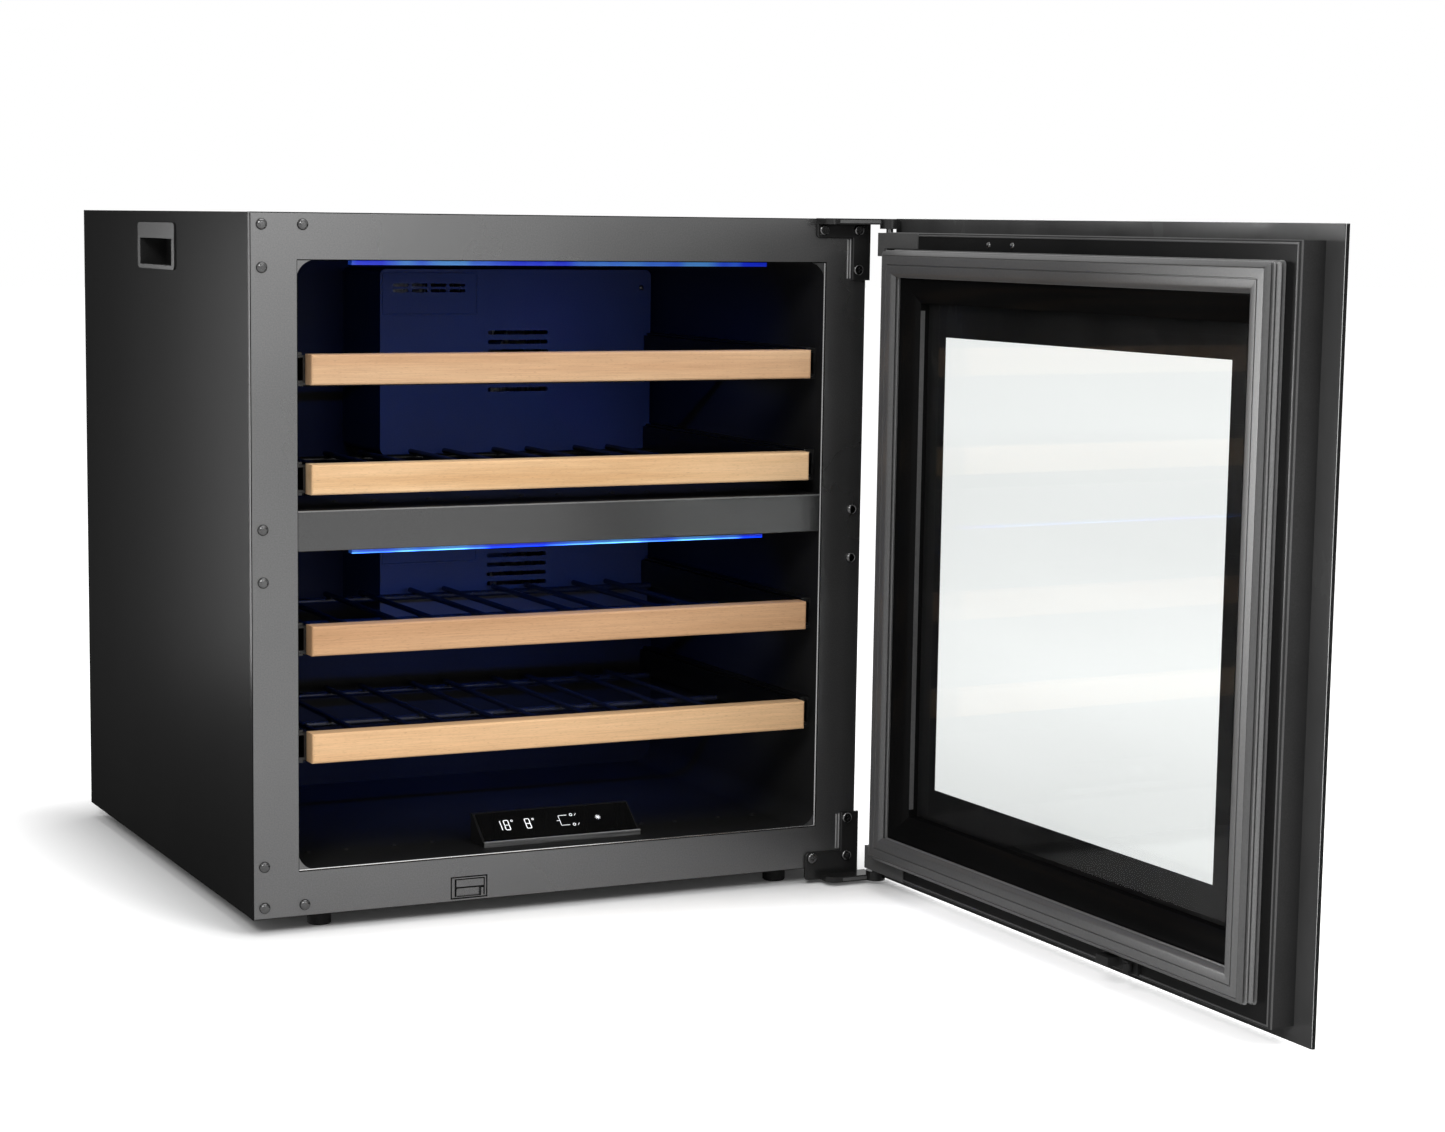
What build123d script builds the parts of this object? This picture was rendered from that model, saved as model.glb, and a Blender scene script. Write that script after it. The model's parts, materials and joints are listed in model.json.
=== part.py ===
from build123d import *
import math
import os

# Built-in two-zone wine cooler, drawn with its glass door open and its shelves pushed in.
# Millimetres. +Z is up, the front faces -Y, and the origin is on the floor under the cabinet's centre.

# Cabinet shell
cabinet_w = 555.0
cabinet_h = 570.0
cabinet_d = 520.0
foot_h = 14.0
foot_r = 10.0
foot_inset_x = 65.0
foot_inset_y = 28.0
sheet_t = 1.0
base_t = 1.2
frame_t = 3.0
frame_edge_r = 0.8
stile_w = 38.5
frame_rail_h = 37.0

# Liner: a moulded tub with a step over the machine compartment
rear_space = 70.0
machine_d = 175.0
liner_t = 2.5
liner_r = 18.0
step_h = 140.0
floor_bump_r = 3.0
floor_bump_h = 1.5
floor_bump_y = 66.0
floor_edge_margin = 8.0
floor_bottle_count = 6

# Divider between the two zones, and the lamps above each zone
divider_h = 33.0
divider_above_floor = 262.0
divider_set_back = 2.0
divider_trim_t = 6.0
divider_wall = 2.5
divider_edge_r = 1.2
lamp_end_gap = 51.0
lamp_w = 9.0
lamp_t = 4.5
lamp_set_back = 14.0

# Bottle shelves on two-member runners
runner_space = 12.5
shelf_h = 24.5
shelf_rear_gap = 9.0
shelf_front_t = 16.0
shelf_edge_r = 2.0
shelf_set_back = 1.0
shelf_pitch = 88.3
shelf_above_divider = 12.5
shelf_below_divider = 85.5
bottle_edge_margin = 16.5
bottles_per_shelf = 5
rod_pair_gap = 34.0
rod_r = 2.5
rod_drop = 5.0
cross_bar_r = 3.0
cross_bar_count = 3
cross_bar_inset = 12.0
weld_depth = 1.0
runner_rear_gap = 2.0
runner_h = 27.0
runner_depth = 9.5
runner_wall = 2.0
runner_play = 0.3
bar_wall = 2.0

# Evaporators, their covers and their fans
cover_d = 105.0
cover_w = 278.0
cover_side_gap = 5.0
cover_wall = 2.5
cover_margin = 14.0
cover_edge_r = 6.0
louvre_l = 16.0
louvre_w = 3.0
louvre_pitch_x = 18.8
louvre_pitch_z = 5.2
louvre_columns = 4
louvre_rows = 2
louvre_from_side = 48.6
louvre_from_top = 17.5
grille_slot_l = 62.0
grille_slot_w = 4.0
grille_slot_pitch = 9.0
grille_slot_count = 7
evaporator_t = 3.0
evaporator_margin = 9.0
fan_r = 36.0
fan_hub_r = 13.0
fan_hub_l = 14.0
fan_blade_t = 1.6
fan_blade_l = 11.0
fan_blade_tilt = 35.0
fan_blade_count = 7
fan_shaft_r = 2.0
fan_fit = 0.05
fan_gap = 2.0
motor_r = 19.0
motor_l = 22.0

# Touch-control console on the cavity floor
console_w = 146.0
console_x = 8.0
console_set_back = 30.0
console_d = 30.0
console_h = 24.0
console_lip_h = 3.0
console_rear_flat = 3.0
console_glass_t = 1.4
console_glass_margin = 2.0
console_trim_h = 5.0
console_trim_t = 2.0

# Door: an outer glass panel larger than the cabinet, a frame behind it and an inner pane
door_side_overhang = 20.0
door_top_overhang = 1.0
door_bottom_overhang = 11.0
door_glass_t = 4.0
door_glass_edge = 0.5
door_stand_off = 32.5
door_frame_side_inset = 20.0
door_frame_end_inset = 12.4
door_frame_depth = 22.3
door_frame_edge_r = 1.0
ridge_depth = 30.0
ridge_gap = 0.5
ridge_top = 1.5
lip_side_inset = 76.5
lip_end_inset = 70.5
lip_depth = 20.0
pane_depth = 12.0
pane_t = 4.0
pane_bite = 8.0
pane_gap = 0.5
spacer_w = 12.0
gasket_side_inset = 35.5
gasket_end_inset = 26.5
gasket_w = 22.5
gasket_foot_w = 16.0
gasket_foot_h = 3.0
gasket_closed_gap = 0.4
gasket_groove_w = 1.6
gasket_groove_d = 1.6
gasket_groove_inset = 13.0
gasket_edge_r = 1.8
door_open_deg = 91.0

# Hinges
hinge_out = 11.3
hinge_forward = 20.75
hinge_pin_r = 3.0
hinge_pin_fit = 0.05
hinge_pin_press = 0.02
hinge_pin_engage = 8.0
hinge_plate_t = 3.0
hinge_arm_t = 5.0
hinge_arm_set_in = 0.5
hinge_knuckle_r = 8.5
hinge_knuckle_h = 8.6
hinge_leg_l = 52.5
hinge_bottom_leg_l = 48.5
hinge_leg_w = 17.5
hinge_top_leg_h = 16.5
hinge_bottom_leg_h = 14.3
hinge_past_side = 3.0
hinge_bottom_arm_short = 15.0
hinge_corner_r = 3.5
hinge_edge_r = 1.0
hinge_block_r = 5.0
hinge_block_h = 20.0
hinge_cap_l = 54.0
hinge_cap_h = 13.0
hinge_cap_t = 1.0

# Screws and blanking plugs in the front frame
fixing_near = 9.5
fixing_far = 43.5
fixing_hole_r = 2.6
screw_shank_r = 2.5
screw_shank_l = 10.0
screw_head_r = 4.6
screw_head_h = 2.6
screw_slot_w = 1.2
screw_slot_d = 0.9
plug_head_r = 4.6
plug_head_h = 3.0
plug_shank_l = 8.0
middle_plug_below = 14.0
middle_plug_gap = 42.5

# Push latch in the lower rail and its striker on the door
latch_x = -90.0
latch_w = 32.0
latch_h = 18.0
latch_d = 26.0
latch_above_base = 11.5
latch_fit = 0.2
latch_slot_w = 22.0
latch_slot_h = 10.0
latch_slot_drop = 3.0
latch_slot_d = 20.0
plunger_l = 12.0
plunger_play = 0.2
striker_w = 46.0
striker_h = 11.0
striker_t = 2.5
striker_past_nose = 11.0
nose_w = 16.0
nose_h = 7.0
nose_reach = 2.5
roller_r = 3.2
roller_l = 6.0
roller_offset = 25.0
roller_base_gap = 0.4
roller_pin_r = 1.2
roller_fit = 0.05
roller_end_gap = 0.3
roller_ear_t = 1.6

# Carry handles let into the side panels
handle_from_front = 267.0
handle_below_top = 30.0
handle_w = 115.0
handle_h = 40.0
handle_t = 1.5
handle_cup_w = 99.0
handle_cup_h = 23.0
handle_cup_d = 24.0
handle_cup_wall = 2.0
handle_cup_drop = 5.0
handle_fit = 0.3

# Machine compartment behind the liner's step
compressor_r = 58.0
compressor_h = 118.0
compressor_from_side = 127.5
compressor_from_rear = 78.0
compressor_crown_r = 22.0
compressor_foot_w = 150.0
compressor_foot_d = 90.0
compressor_foot_t = 3.0
compressor_grommet_r = 9.0
compressor_grommet_h = 10.0
tray_l = 96.0
tray_w = 80.0
tray_h = 14.0
tray_wall = 1.6
condenser_l = 120.0
condenser_w = 96.0
condenser_h = 110.0
condenser_from_side = 105.5
condenser_from_rear = 78.0
condenser_fin_t = 1.2
condenser_fin_pitch = 8.0
condenser_tube_r = 4.0
condenser_tube_rows = 3
condenser_tube_cols = 2
shroud_t = 3.0
shroud_depth = 26.0
cooling_fan_r = 44.0
cooling_fan_gap = 2.5
strut_w = 8.0
board_l = 60.0
board_w = 80.0
board_h = 70.0
board_x = 12.0
board_from_rear = 66.0
board_edge_r = 3.0
grille_open_w = 52.0
grille_open_h = 4.0
grille_pitch_x = 66.0
grille_pitch_z = 11.0
grille_columns = 7
grille_rows = 11
inlet_x = -40.0
inlet_above_base = 150.0
inlet_w = 31.0
inlet_h = 26.0
inlet_d = 22.0
inlet_wall = 3.0
inlet_flange = 3.0
inlet_fit = 0.2
inlet_pin_w = 2.0
inlet_pin_h = 4.0
inlet_pin_l = 14.0
inlet_pin_gap = 7.0

# Places worked out from the sizes above
front_y = -cabinet_d / 2
rear_y = cabinet_d / 2
base_z = foot_h
top_z = base_z + cabinet_h
opening_w = cabinet_w - 2 * stile_w
opening_h = cabinet_h - 2 * frame_rail_h
floor_z = base_z + frame_rail_h
ceiling_z = top_z - frame_rail_h
opening_z = (floor_z + ceiling_z) / 2
shell_front = front_y + frame_t
shell_d = cabinet_d - frame_t
shell_w = cabinet_w - 2 * sheet_t
cavity_rear = rear_y - rear_space
step_y = rear_y - machine_d
floor_bottle_pitch = (opening_w - 2 * floor_edge_margin) / floor_bottle_count
step_z = floor_z + step_h
shelf_w = opening_w - 2 * runner_space
bottle_pitch = (shelf_w - 2 * bottle_edge_margin) / bottles_per_shelf
lamp_l = opening_w - 2 * lamp_end_gap
divider_z = floor_z + divider_above_floor
divider_top = divider_z + divider_h
divider_front = front_y + divider_set_back
shelf_front_y = front_y + shelf_set_back
shelf_back_y = shelf_front_y + shelf_front_t
shelf_end_y = step_y - shelf_rear_gap
runner_l = step_y - runner_rear_gap - shelf_back_y
shelf_bottoms = (
    divider_top + shelf_above_divider + shelf_pitch,
    divider_top + shelf_above_divider,
    divider_z - shelf_below_divider,
    divider_z - shelf_below_divider - shelf_pitch,
)
cover_y = cavity_rear - cover_d
cover_x = opening_w / 2 - cover_side_gap - cover_w / 2
zones = (
    ("upper", divider_top, ceiling_z),
    ("lower", step_z, divider_z),
)
door_w = cabinet_w + 2 * door_side_overhang
door_bottom = base_z - door_bottom_overhang
door_h = cabinet_h + door_top_overhang + door_bottom_overhang
door_top = door_bottom + door_h
door_z = (door_bottom + door_top) / 2
door_frame_w = door_w - 2 * door_frame_side_inset
door_frame_h = door_h - 2 * door_frame_end_inset
door_frame_bottom = door_bottom + door_frame_end_inset
door_frame_top = door_top - door_frame_end_inset
lip_w = door_w - 2 * lip_side_inset
lip_h = door_h - 2 * lip_end_inset
pane_w = lip_w + 2 * pane_bite
pane_h = lip_h + 2 * pane_bite
gasket_outer_w = door_w - 2 * gasket_side_inset
gasket_outer_h = door_h - 2 * gasket_end_inset
gasket_inner_w = gasket_outer_w - 2 * gasket_w
gasket_inner_h = gasket_outer_h - 2 * gasket_w
ridge_w = gasket_inner_w - 2 * ridge_gap
ridge_h = gasket_inner_h - 2 * ridge_gap
pivot_x = cabinet_w / 2 + hinge_out
pivot_y = front_y - hinge_forward
latch_z = base_z + latch_above_base
slot_z = latch_z - latch_slot_drop

# Planes of the open door. A closed door's x becomes x - pivot_x along it, and heights stay as they are.
swing = math.radians(door_open_deg)
door_along = (math.cos(swing), math.sin(swing), 0)
door_outward = (math.sin(swing), -math.cos(swing), 0)
hinge_plane = Plane(origin=(pivot_x, pivot_y, 0), x_dir=door_along, z_dir=door_outward)
door_centre = (-pivot_x, door_z)


def front_plane(y):
    """The plane at a distance y, seen from the front: x to the right, z up."""
    return Plane.XZ.offset(-y)


def door_plane(depth):
    """The plane of the open door at a depth behind its outer panel's inner face."""
    return hinge_plane.offset(door_stand_off - hinge_forward - depth)


def door_plan(z):
    """The level plane at height z, turned with the open door: x along the door, y towards the cabinet."""
    return Plane(origin=(pivot_x, pivot_y, z), x_dir=door_along, z_dir=(0, 0, 1))


def finish(piece, name):
    """Label a piece and write it to its file."""
    piece.part.label = name
    export_step(piece.part, f"parts/{name}.step")


os.makedirs("parts", exist_ok=True)

# Places of the screws and plugs in the front frame, as x and z
corner_offsets = ((fixing_near, fixing_near), (fixing_far, fixing_near), (fixing_near, fixing_far))
hinge_fixings = [(cabinet_w / 2 - dx, top_z - dz) for dx, dz in corner_offsets]
hinge_fixings += [(cabinet_w / 2 - dx, base_z + dz) for dx, dz in corner_offsets]
middle_plug_top = divider_top - middle_plug_below
plug_points = [(-x, z) for x, z in hinge_fixings]
for stile_x in (fixing_near - cabinet_w / 2, cabinet_w / 2 - fixing_near):
    plug_points.append((stile_x, middle_plug_top))
    plug_points.append((stile_x, middle_plug_top - middle_plug_gap))

# Front frame: the flat steel face round the opening
with BuildPart() as front_frame:
    with BuildSketch(front_plane(front_y)):
        with Locations((0, opening_z)):
            Rectangle(cabinet_w, cabinet_h)
            Rectangle(opening_w, opening_h, mode=Mode.SUBTRACT)
        with Locations(*hinge_fixings, *plug_points):
            Circle(fixing_hole_r, mode=Mode.SUBTRACT)
        with Locations((latch_x, latch_z)):
            Rectangle(latch_w + 2 * latch_fit, latch_h + 2 * latch_fit, mode=Mode.SUBTRACT)
    extrude(amount=-frame_t)
    front_face = front_frame.faces().sort_by(Axis.Y)[0]
    fillet(front_face.outer_wire().edges(), radius=frame_edge_r)
finish(front_frame, "front_frame")

# Shell panels
handle_y = front_y + handle_from_front
handle_z = top_z - handle_below_top
cup_z = handle_z - handle_cup_drop
cup_cut_w = handle_cup_w + 2 * handle_cup_wall + 2 * handle_fit
cup_cut_h = handle_cup_h + 2 * handle_cup_wall + 2 * handle_fit
for side, name in ((-1, "side_panel_left"), (1, "side_panel_right")):
    with BuildPart() as side_panel:
        with Locations((side * (cabinet_w - sheet_t) / 2, shell_front + shell_d / 2, base_z + cabinet_h / 2)):
            Box(sheet_t, shell_d, cabinet_h)
        with Locations((side * cabinet_w / 2, handle_y, cup_z)):
            Box(4 * sheet_t, cup_cut_w, cup_cut_h, mode=Mode.SUBTRACT)
    finish(side_panel, name)

with BuildPart() as top_panel:
    with Locations((0, shell_front, top_z)):
        Box(shell_w, shell_d, sheet_t, align=(Align.CENTER, Align.MIN, Align.MAX))
finish(top_panel, "top_panel")

with BuildPart() as base_pan:
    with Locations((0, shell_front, base_z)):
        Box(shell_w, shell_d, base_t, align=(Align.CENTER, Align.MIN, Align.MIN))
finish(base_pan, "base_pan")

with BuildPart() as rear_panel:
    with Locations((0, rear_y, step_z)):
        Box(shell_w, sheet_t, top_z - sheet_t - step_z, align=(Align.CENTER, Align.MAX, Align.MIN))
finish(rear_panel, "rear_panel")

inlet_z = base_z + inlet_above_base
compartment_z = base_z + base_t
compartment_h = step_z - compartment_z
with BuildPart() as rear_grille:
    with BuildSketch(front_plane(rear_y)):
        with Locations((0, compartment_z + compartment_h / 2)):
            Rectangle(shell_w, compartment_h)
            with GridLocations(grille_pitch_x, grille_pitch_z, grille_columns, grille_rows):
                SlotOverall(grille_open_w, grille_open_h, mode=Mode.SUBTRACT)
        with Locations((inlet_x, inlet_z)):
            Rectangle(inlet_w + 4 * inlet_flange, inlet_h + 4 * inlet_flange)
            Rectangle(inlet_w + 2 * inlet_fit, inlet_h + 2 * inlet_fit, mode=Mode.SUBTRACT)
    extrude(amount=sheet_t)
finish(rear_grille, "rear_grille")

with BuildPart() as feet:
    with BuildSketch():
        with GridLocations(cabinet_w - 2 * foot_inset_x, cabinet_d - 2 * foot_inset_y, 2, 2):
            Circle(foot_r)
    extrude(amount=foot_h)
    chamfer(feet.edges().group_by(Axis.Z)[0], length=1.0)
finish(feet, "feet")

# Liner: the moulded inner tub, open at the front, with bottle bumps on its floor
with BuildPart() as liner:
    with BuildSketch(Plane.YZ):
        with BuildLine():
            Polyline(
                (shell_front, floor_z - liner_t),
                (step_y + liner_t, floor_z - liner_t),
                (step_y + liner_t, step_z - liner_t),
                (cavity_rear + liner_t, step_z - liner_t),
                (cavity_rear + liner_t, ceiling_z + liner_t),
                (shell_front, ceiling_z + liner_t),
                close=True,
            )
        make_face()
    extrude(amount=opening_w / 2 + liner_t, both=True)
    long_edges = liner.edges().filter_by(Axis.Y).group_by(Axis.Z)
    fillet(long_edges[0] + long_edges[-1], radius=liner_r + liner_t)
    mouth = liner.faces().sort_by(Axis.Y)[0]
    offset(amount=-liner_t, openings=mouth, kind=Kind.INTERSECTION)
    with Locations((0, front_y + floor_bump_y, floor_z)):
        with GridLocations(floor_bottle_pitch, 0, floor_bottle_count, 1):
            with GridLocations(rod_pair_gap, 0, 2, 1):
                Cone(floor_bump_r, floor_bump_r / 2, floor_bump_h, align=(Align.CENTER, Align.CENTER, Align.MIN))
finish(liner, "liner")

# Divider between the zones, and its front bar
with BuildPart() as divider_panel:
    with Locations((0, divider_front + divider_trim_t, divider_z)):
        Box(opening_w, cavity_rear - divider_front - divider_trim_t, divider_h,
            align=(Align.CENTER, Align.MIN, Align.MIN))
    divider_rear = divider_panel.faces().sort_by(Axis.Y)[-1]
    offset(amount=-divider_wall, openings=divider_rear)
    with Locations((0, front_y + floor_bump_y, divider_top)):
        with GridLocations(bottle_pitch, 0, bottles_per_shelf, 1):
            with GridLocations(rod_pair_gap, 0, 2, 1):
                Cone(floor_bump_r, floor_bump_r / 2, floor_bump_h, align=(Align.CENTER, Align.CENTER, Align.MIN))
finish(divider_panel, "divider_panel")

with BuildPart() as divider_trim:
    with Locations((0, divider_front, divider_z)):
        Box(opening_w, divider_trim_t, divider_h, align=(Align.CENTER, Align.MIN, Align.MIN))
    fillet(divider_trim.faces().sort_by(Axis.Y)[0].edges().filter_by(Axis.X), radius=divider_edge_r)
finish(divider_trim, "divider_trim")

# Lamps: one bar under the ceiling and one under the divider
with BuildPart() as lamp_bars:
    with Locations(*[(0, front_y + lamp_set_back, lamp_top) for lamp_top in (ceiling_z, divider_z)]):
        Box(lamp_l, lamp_w, lamp_t, align=(Align.CENTER, Align.MIN, Align.MAX))
    fillet(lamp_bars.edges().filter_by(Axis.X).group_by(Axis.Z)[0], radius=lamp_t / 3)
finish(lamp_bars, "lamp_bars")

# Evaporator covers with the fan grille and a group of louvres, one in each zone
fan_places = []
for zone, zone_floor, zone_ceiling in zones:
    cover_h = zone_ceiling - zone_floor - 2 * cover_margin
    cover_z = (zone_floor + zone_ceiling) / 2
    fan_places.append((zone, cover_z))
    with BuildPart() as cover:
        with BuildSketch(front_plane(cover_y)):
            with Locations((cover_x, cover_z)):
                RectangleRounded(cover_w, cover_h, cover_edge_r)
        extrude(amount=-cover_d)
        with BuildSketch(front_plane(cover_y + cover_wall)):
            with Locations((cover_x, cover_z)):
                RectangleRounded(cover_w - 2 * cover_wall, cover_h - 2 * cover_wall, cover_edge_r - cover_wall)
        extrude(amount=cover_wall - cover_d, mode=Mode.SUBTRACT)
        with BuildSketch(front_plane(cover_y)):
            with Locations((cover_x, cover_z)):
                with GridLocations(0, grille_slot_pitch, 1, grille_slot_count):
                    SlotOverall(grille_slot_l, grille_slot_w)
            with Locations((cover_x - cover_w / 2 + louvre_from_side, cover_z + cover_h / 2 - louvre_from_top)):
                with GridLocations(louvre_pitch_x, louvre_pitch_z, louvre_columns, louvre_rows):
                    SlotOverall(louvre_l, louvre_w)
        extrude(amount=-cover_wall, mode=Mode.SUBTRACT)
    finish(cover, f"evaporator_cover_{zone}")

    with BuildPart() as evaporator:
        with BuildSketch(front_plane(cavity_rear)):
            with Locations((cover_x, cover_z)):
                Rectangle(cover_w - 2 * evaporator_margin, cover_h - 2 * evaporator_margin)
                Circle(motor_r + fan_gap, mode=Mode.SUBTRACT)
        extrude(amount=evaporator_t)
    finish(evaporator, f"evaporator_{zone}")

# Evaporator fan motors on the liner's rear wall, with their shafts
motor_front = cavity_rear - motor_l
rotor_rear = motor_front - fan_gap
with BuildPart() as fan_motors:
    for zone, fan_z in fan_places:
        with BuildSketch(front_plane(cavity_rear)):
            with Locations((cover_x, fan_z)):
                Circle(motor_r)
        extrude(amount=motor_l)
        with BuildSketch(front_plane(motor_front)):
            with Locations((cover_x, fan_z)):
                Circle(fan_shaft_r)
        extrude(amount=fan_gap + fan_hub_l)
finish(fan_motors, "fan_motors")

# Evaporator fan rotors
for zone, fan_z in fan_places:
    with BuildPart() as rotor:
        with BuildSketch(front_plane(rotor_rear)):
            with Locations((cover_x, fan_z)):
                Circle(fan_hub_r)
        extrude(amount=fan_hub_l)
        with Locations(Plane(origin=(cover_x, rotor_rear - fan_hub_l / 2, fan_z), z_dir=(0, -1, 0))):
            with PolarLocations(0, fan_blade_count):
                with Locations(Location((0, 0, 0), (fan_blade_tilt, 0, 0))):
                    Box(fan_r, fan_blade_t, fan_blade_l, align=(Align.MIN, Align.CENTER, Align.CENTER))
        with BuildSketch(front_plane(rotor_rear)):
            with Locations((cover_x, fan_z)):
                Circle(fan_shaft_r + fan_fit)
        extrude(amount=fan_hub_l, mode=Mode.SUBTRACT)
    finish(rotor, f"evaporator_fan_{zone}")

# Runners: a fixed channel on each wall and a bar that slides in it with the shelf
runner_mouth = opening_w / 2 - runner_wall - runner_play
bar_h = runner_h - 2 * runner_wall - 2 * runner_play
bar_w = runner_mouth - shelf_w / 2
with BuildPart() as runner_rails:
    for shelf_bottom in shelf_bottoms:
        for side in (-1, 1):
            with BuildSketch(front_plane(shelf_back_y)):
                with Locations((side * opening_w / 2, shelf_bottom + shelf_h / 2)):
                    wall_side = Align.MAX if side > 0 else Align.MIN
                    Rectangle(runner_depth, runner_h, align=(wall_side, Align.CENTER))
                with Locations((side * (opening_w / 2 - runner_wall), shelf_bottom + shelf_h / 2)):
                    Rectangle(runner_depth, runner_h - 2 * runner_wall,
                              align=(wall_side, Align.CENTER), mode=Mode.SUBTRACT)
            extrude(amount=-runner_l)
finish(runner_rails, "runner_rails")

# Shelves: wooden front, welded rod rack and the two sliding bars
rod_span = shelf_end_y - shelf_back_y
for number, shelf_bottom in enumerate(shelf_bottoms, start=1):
    shelf_mid = shelf_bottom + shelf_h / 2
    with BuildPart() as shelf_front:
        with Locations((0, shelf_front_y, shelf_bottom)):
            Box(shelf_w, shelf_front_t, shelf_h, align=(Align.CENTER, Align.MIN, Align.MIN))
        fillet(shelf_front.faces().sort_by(Axis.Y)[0].edges(), radius=shelf_edge_r)
    finish(shelf_front, f"shelf_front_{number}")

    with BuildPart() as shelf_rack:
        rod_z = shelf_bottom + rod_drop
        with BuildSketch(front_plane(shelf_back_y)):
            with Locations((0, rod_z)):
                with GridLocations(bottle_pitch, 0, bottles_per_shelf, 1):
                    with GridLocations(rod_pair_gap, 0, 2, 1):
                        Circle(rod_r)
        extrude(amount=-rod_span)
        bar_gap = (rod_span - 2 * cross_bar_inset) / (cross_bar_count - 1)
        for index in range(cross_bar_count):
            bar_y = shelf_back_y + cross_bar_inset + index * bar_gap
            with BuildSketch(Plane.YZ):
                with Locations((bar_y, rod_z - rod_r - cross_bar_r + weld_depth)):
                    Circle(cross_bar_r)
            extrude(amount=shelf_w / 2, both=True)
    finish(shelf_rack, f"shelf_rack_{number}")

    with BuildPart() as shelf_bars:
        for side in (-1, 1):
            with BuildSketch(front_plane(shelf_back_y)):
                with Locations((side * (shelf_w / 2 + runner_mouth) / 2, shelf_mid)):
                    Rectangle(bar_w, bar_h)
                with Locations((side * (shelf_w / 2 + runner_mouth + bar_wall) / 2, shelf_mid)):
                    Rectangle(bar_w - bar_wall, bar_h - 2 * bar_wall, mode=Mode.SUBTRACT)
            extrude(amount=-runner_l)
    finish(shelf_bars, f"shelf_bars_{number}")

# Touch-control console: a wedge on the floor with a sloping glass and a bright front strip
console_y = front_y + console_set_back
console_rear = console_y + console_d
slope_start = (console_y, floor_z + console_lip_h)
slope_end = (console_rear - console_rear_flat, floor_z + console_h)
with BuildPart() as control_console:
    with BuildSketch(Plane.YZ.offset(console_x)):
        with BuildLine():
            Polyline(
                (console_y, floor_z),
                slope_start,
                slope_end,
                (console_rear, floor_z + console_h),
                (console_rear, floor_z),
                close=True,
            )
        make_face()
    extrude(amount=console_w / 2, both=True)
finish(control_console, "control_console")

slope_rise = slope_end[1] - slope_start[1]
slope_run = slope_end[0] - slope_start[0]
slope_l = math.hypot(slope_rise, slope_run)
slope_middle = (console_x, (slope_start[0] + slope_end[0]) / 2, (slope_start[1] + slope_end[1]) / 2)
slope_plane = Plane(origin=slope_middle, x_dir=(1, 0, 0), z_dir=(0, -slope_rise, slope_run))
with BuildPart() as control_glass:
    with BuildSketch(slope_plane):
        Rectangle(console_w - 2 * console_glass_margin, slope_l - 2 * console_glass_margin)
    extrude(amount=console_glass_t)
    fillet(control_glass.edges().filter_by(Axis.X, reverse=True).group_by(SortBy.LENGTH)[0],
           radius=console_glass_t / 2)
finish(control_glass, "control_glass")

with BuildPart() as console_trim:
    with Locations((console_x, console_y, floor_z)):
        Box(console_w, console_trim_t, console_trim_h, align=(Align.CENTER, Align.MAX, Align.MIN))
    fillet(console_trim.edges().filter_by(Axis.X).group_by(Axis.Z)[-1], radius=console_trim_t / 3)
finish(console_trim, "console_trim")

# Hinge brackets: an angled plate screwed to the frame, with a forward arm that ends in the pin's knuckle
leg_right = cabinet_w / 2 + hinge_past_side
leg_left = leg_right - hinge_leg_l
arm_lefts = {"top": leg_left, "bottom": leg_left + hinge_bottom_arm_short}
arm_levels = {"top": door_top - hinge_arm_set_in, "bottom": door_bottom + hinge_arm_set_in}
frame_edges = {"top": top_z, "bottom": base_z}
leg_heights = {"top": hinge_top_leg_h, "bottom": hinge_bottom_leg_h}
leg_lengths = {"top": hinge_leg_l, "bottom": hinge_bottom_leg_l}
inward = {"top": -1, "bottom": 1}
for end in ("top", "bottom"):
    to_middle = inward[end]
    outer = arm_levels[end]
    leg_inner = frame_edges[end] + to_middle * leg_heights[end]
    leg_tip = frame_edges[end] + to_middle * leg_lengths[end]
    arm_left = arm_lefts[end]
    with BuildPart() as hinge_bracket:
        with BuildSketch(front_plane(front_y)) as plate:
            with BuildLine():
                Polyline(
                    (leg_left, outer),
                    (leg_right, outer),
                    (leg_right, leg_tip),
                    (leg_right - hinge_leg_w, leg_tip),
                    (leg_right - hinge_leg_w, leg_inner),
                    (leg_left, leg_inner),
                    close=True,
                )
            make_face()
            fillet(plate.vertices().group_by(Axis.X)[0], radius=hinge_corner_r)
            fixings = [point for point in hinge_fixings if (point[1] > door_z) == (end == "top")]
            with Locations(*fixings):
                Circle(fixing_hole_r, mode=Mode.SUBTRACT)
        extrude(amount=hinge_plate_t)
        plate_face = hinge_bracket.faces().sort_by(Axis.Y)[0]
        fillet(plate_face.outer_wire().edges().filter_by(Axis.Z), radius=hinge_edge_r)
        with BuildSketch(Plane.XY.offset(outer)) as arm:
            with Locations((arm_left, front_y)):
                Rectangle(pivot_x - arm_left, hinge_forward, align=(Align.MIN, Align.MAX))
            fillet(arm.vertices().group_by(Axis.X)[0].group_by(Axis.Y)[0], radius=hinge_knuckle_r)
            with Locations((pivot_x, pivot_y)):
                Circle(hinge_knuckle_r)
        extrude(amount=to_middle * hinge_arm_t)
        with BuildSketch(Plane.XY.offset(outer)):
            with Locations((pivot_x, pivot_y)):
                Circle(hinge_knuckle_r)
        extrude(amount=to_middle * hinge_knuckle_h)
        with BuildSketch(Plane.XY.offset(outer)):
            with Locations((pivot_x, pivot_y)):
                Circle(hinge_pin_r + hinge_pin_press)
        extrude(amount=to_middle * hinge_knuckle_h, mode=Mode.SUBTRACT)
    finish(hinge_bracket, f"hinge_bracket_{end}")

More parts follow.
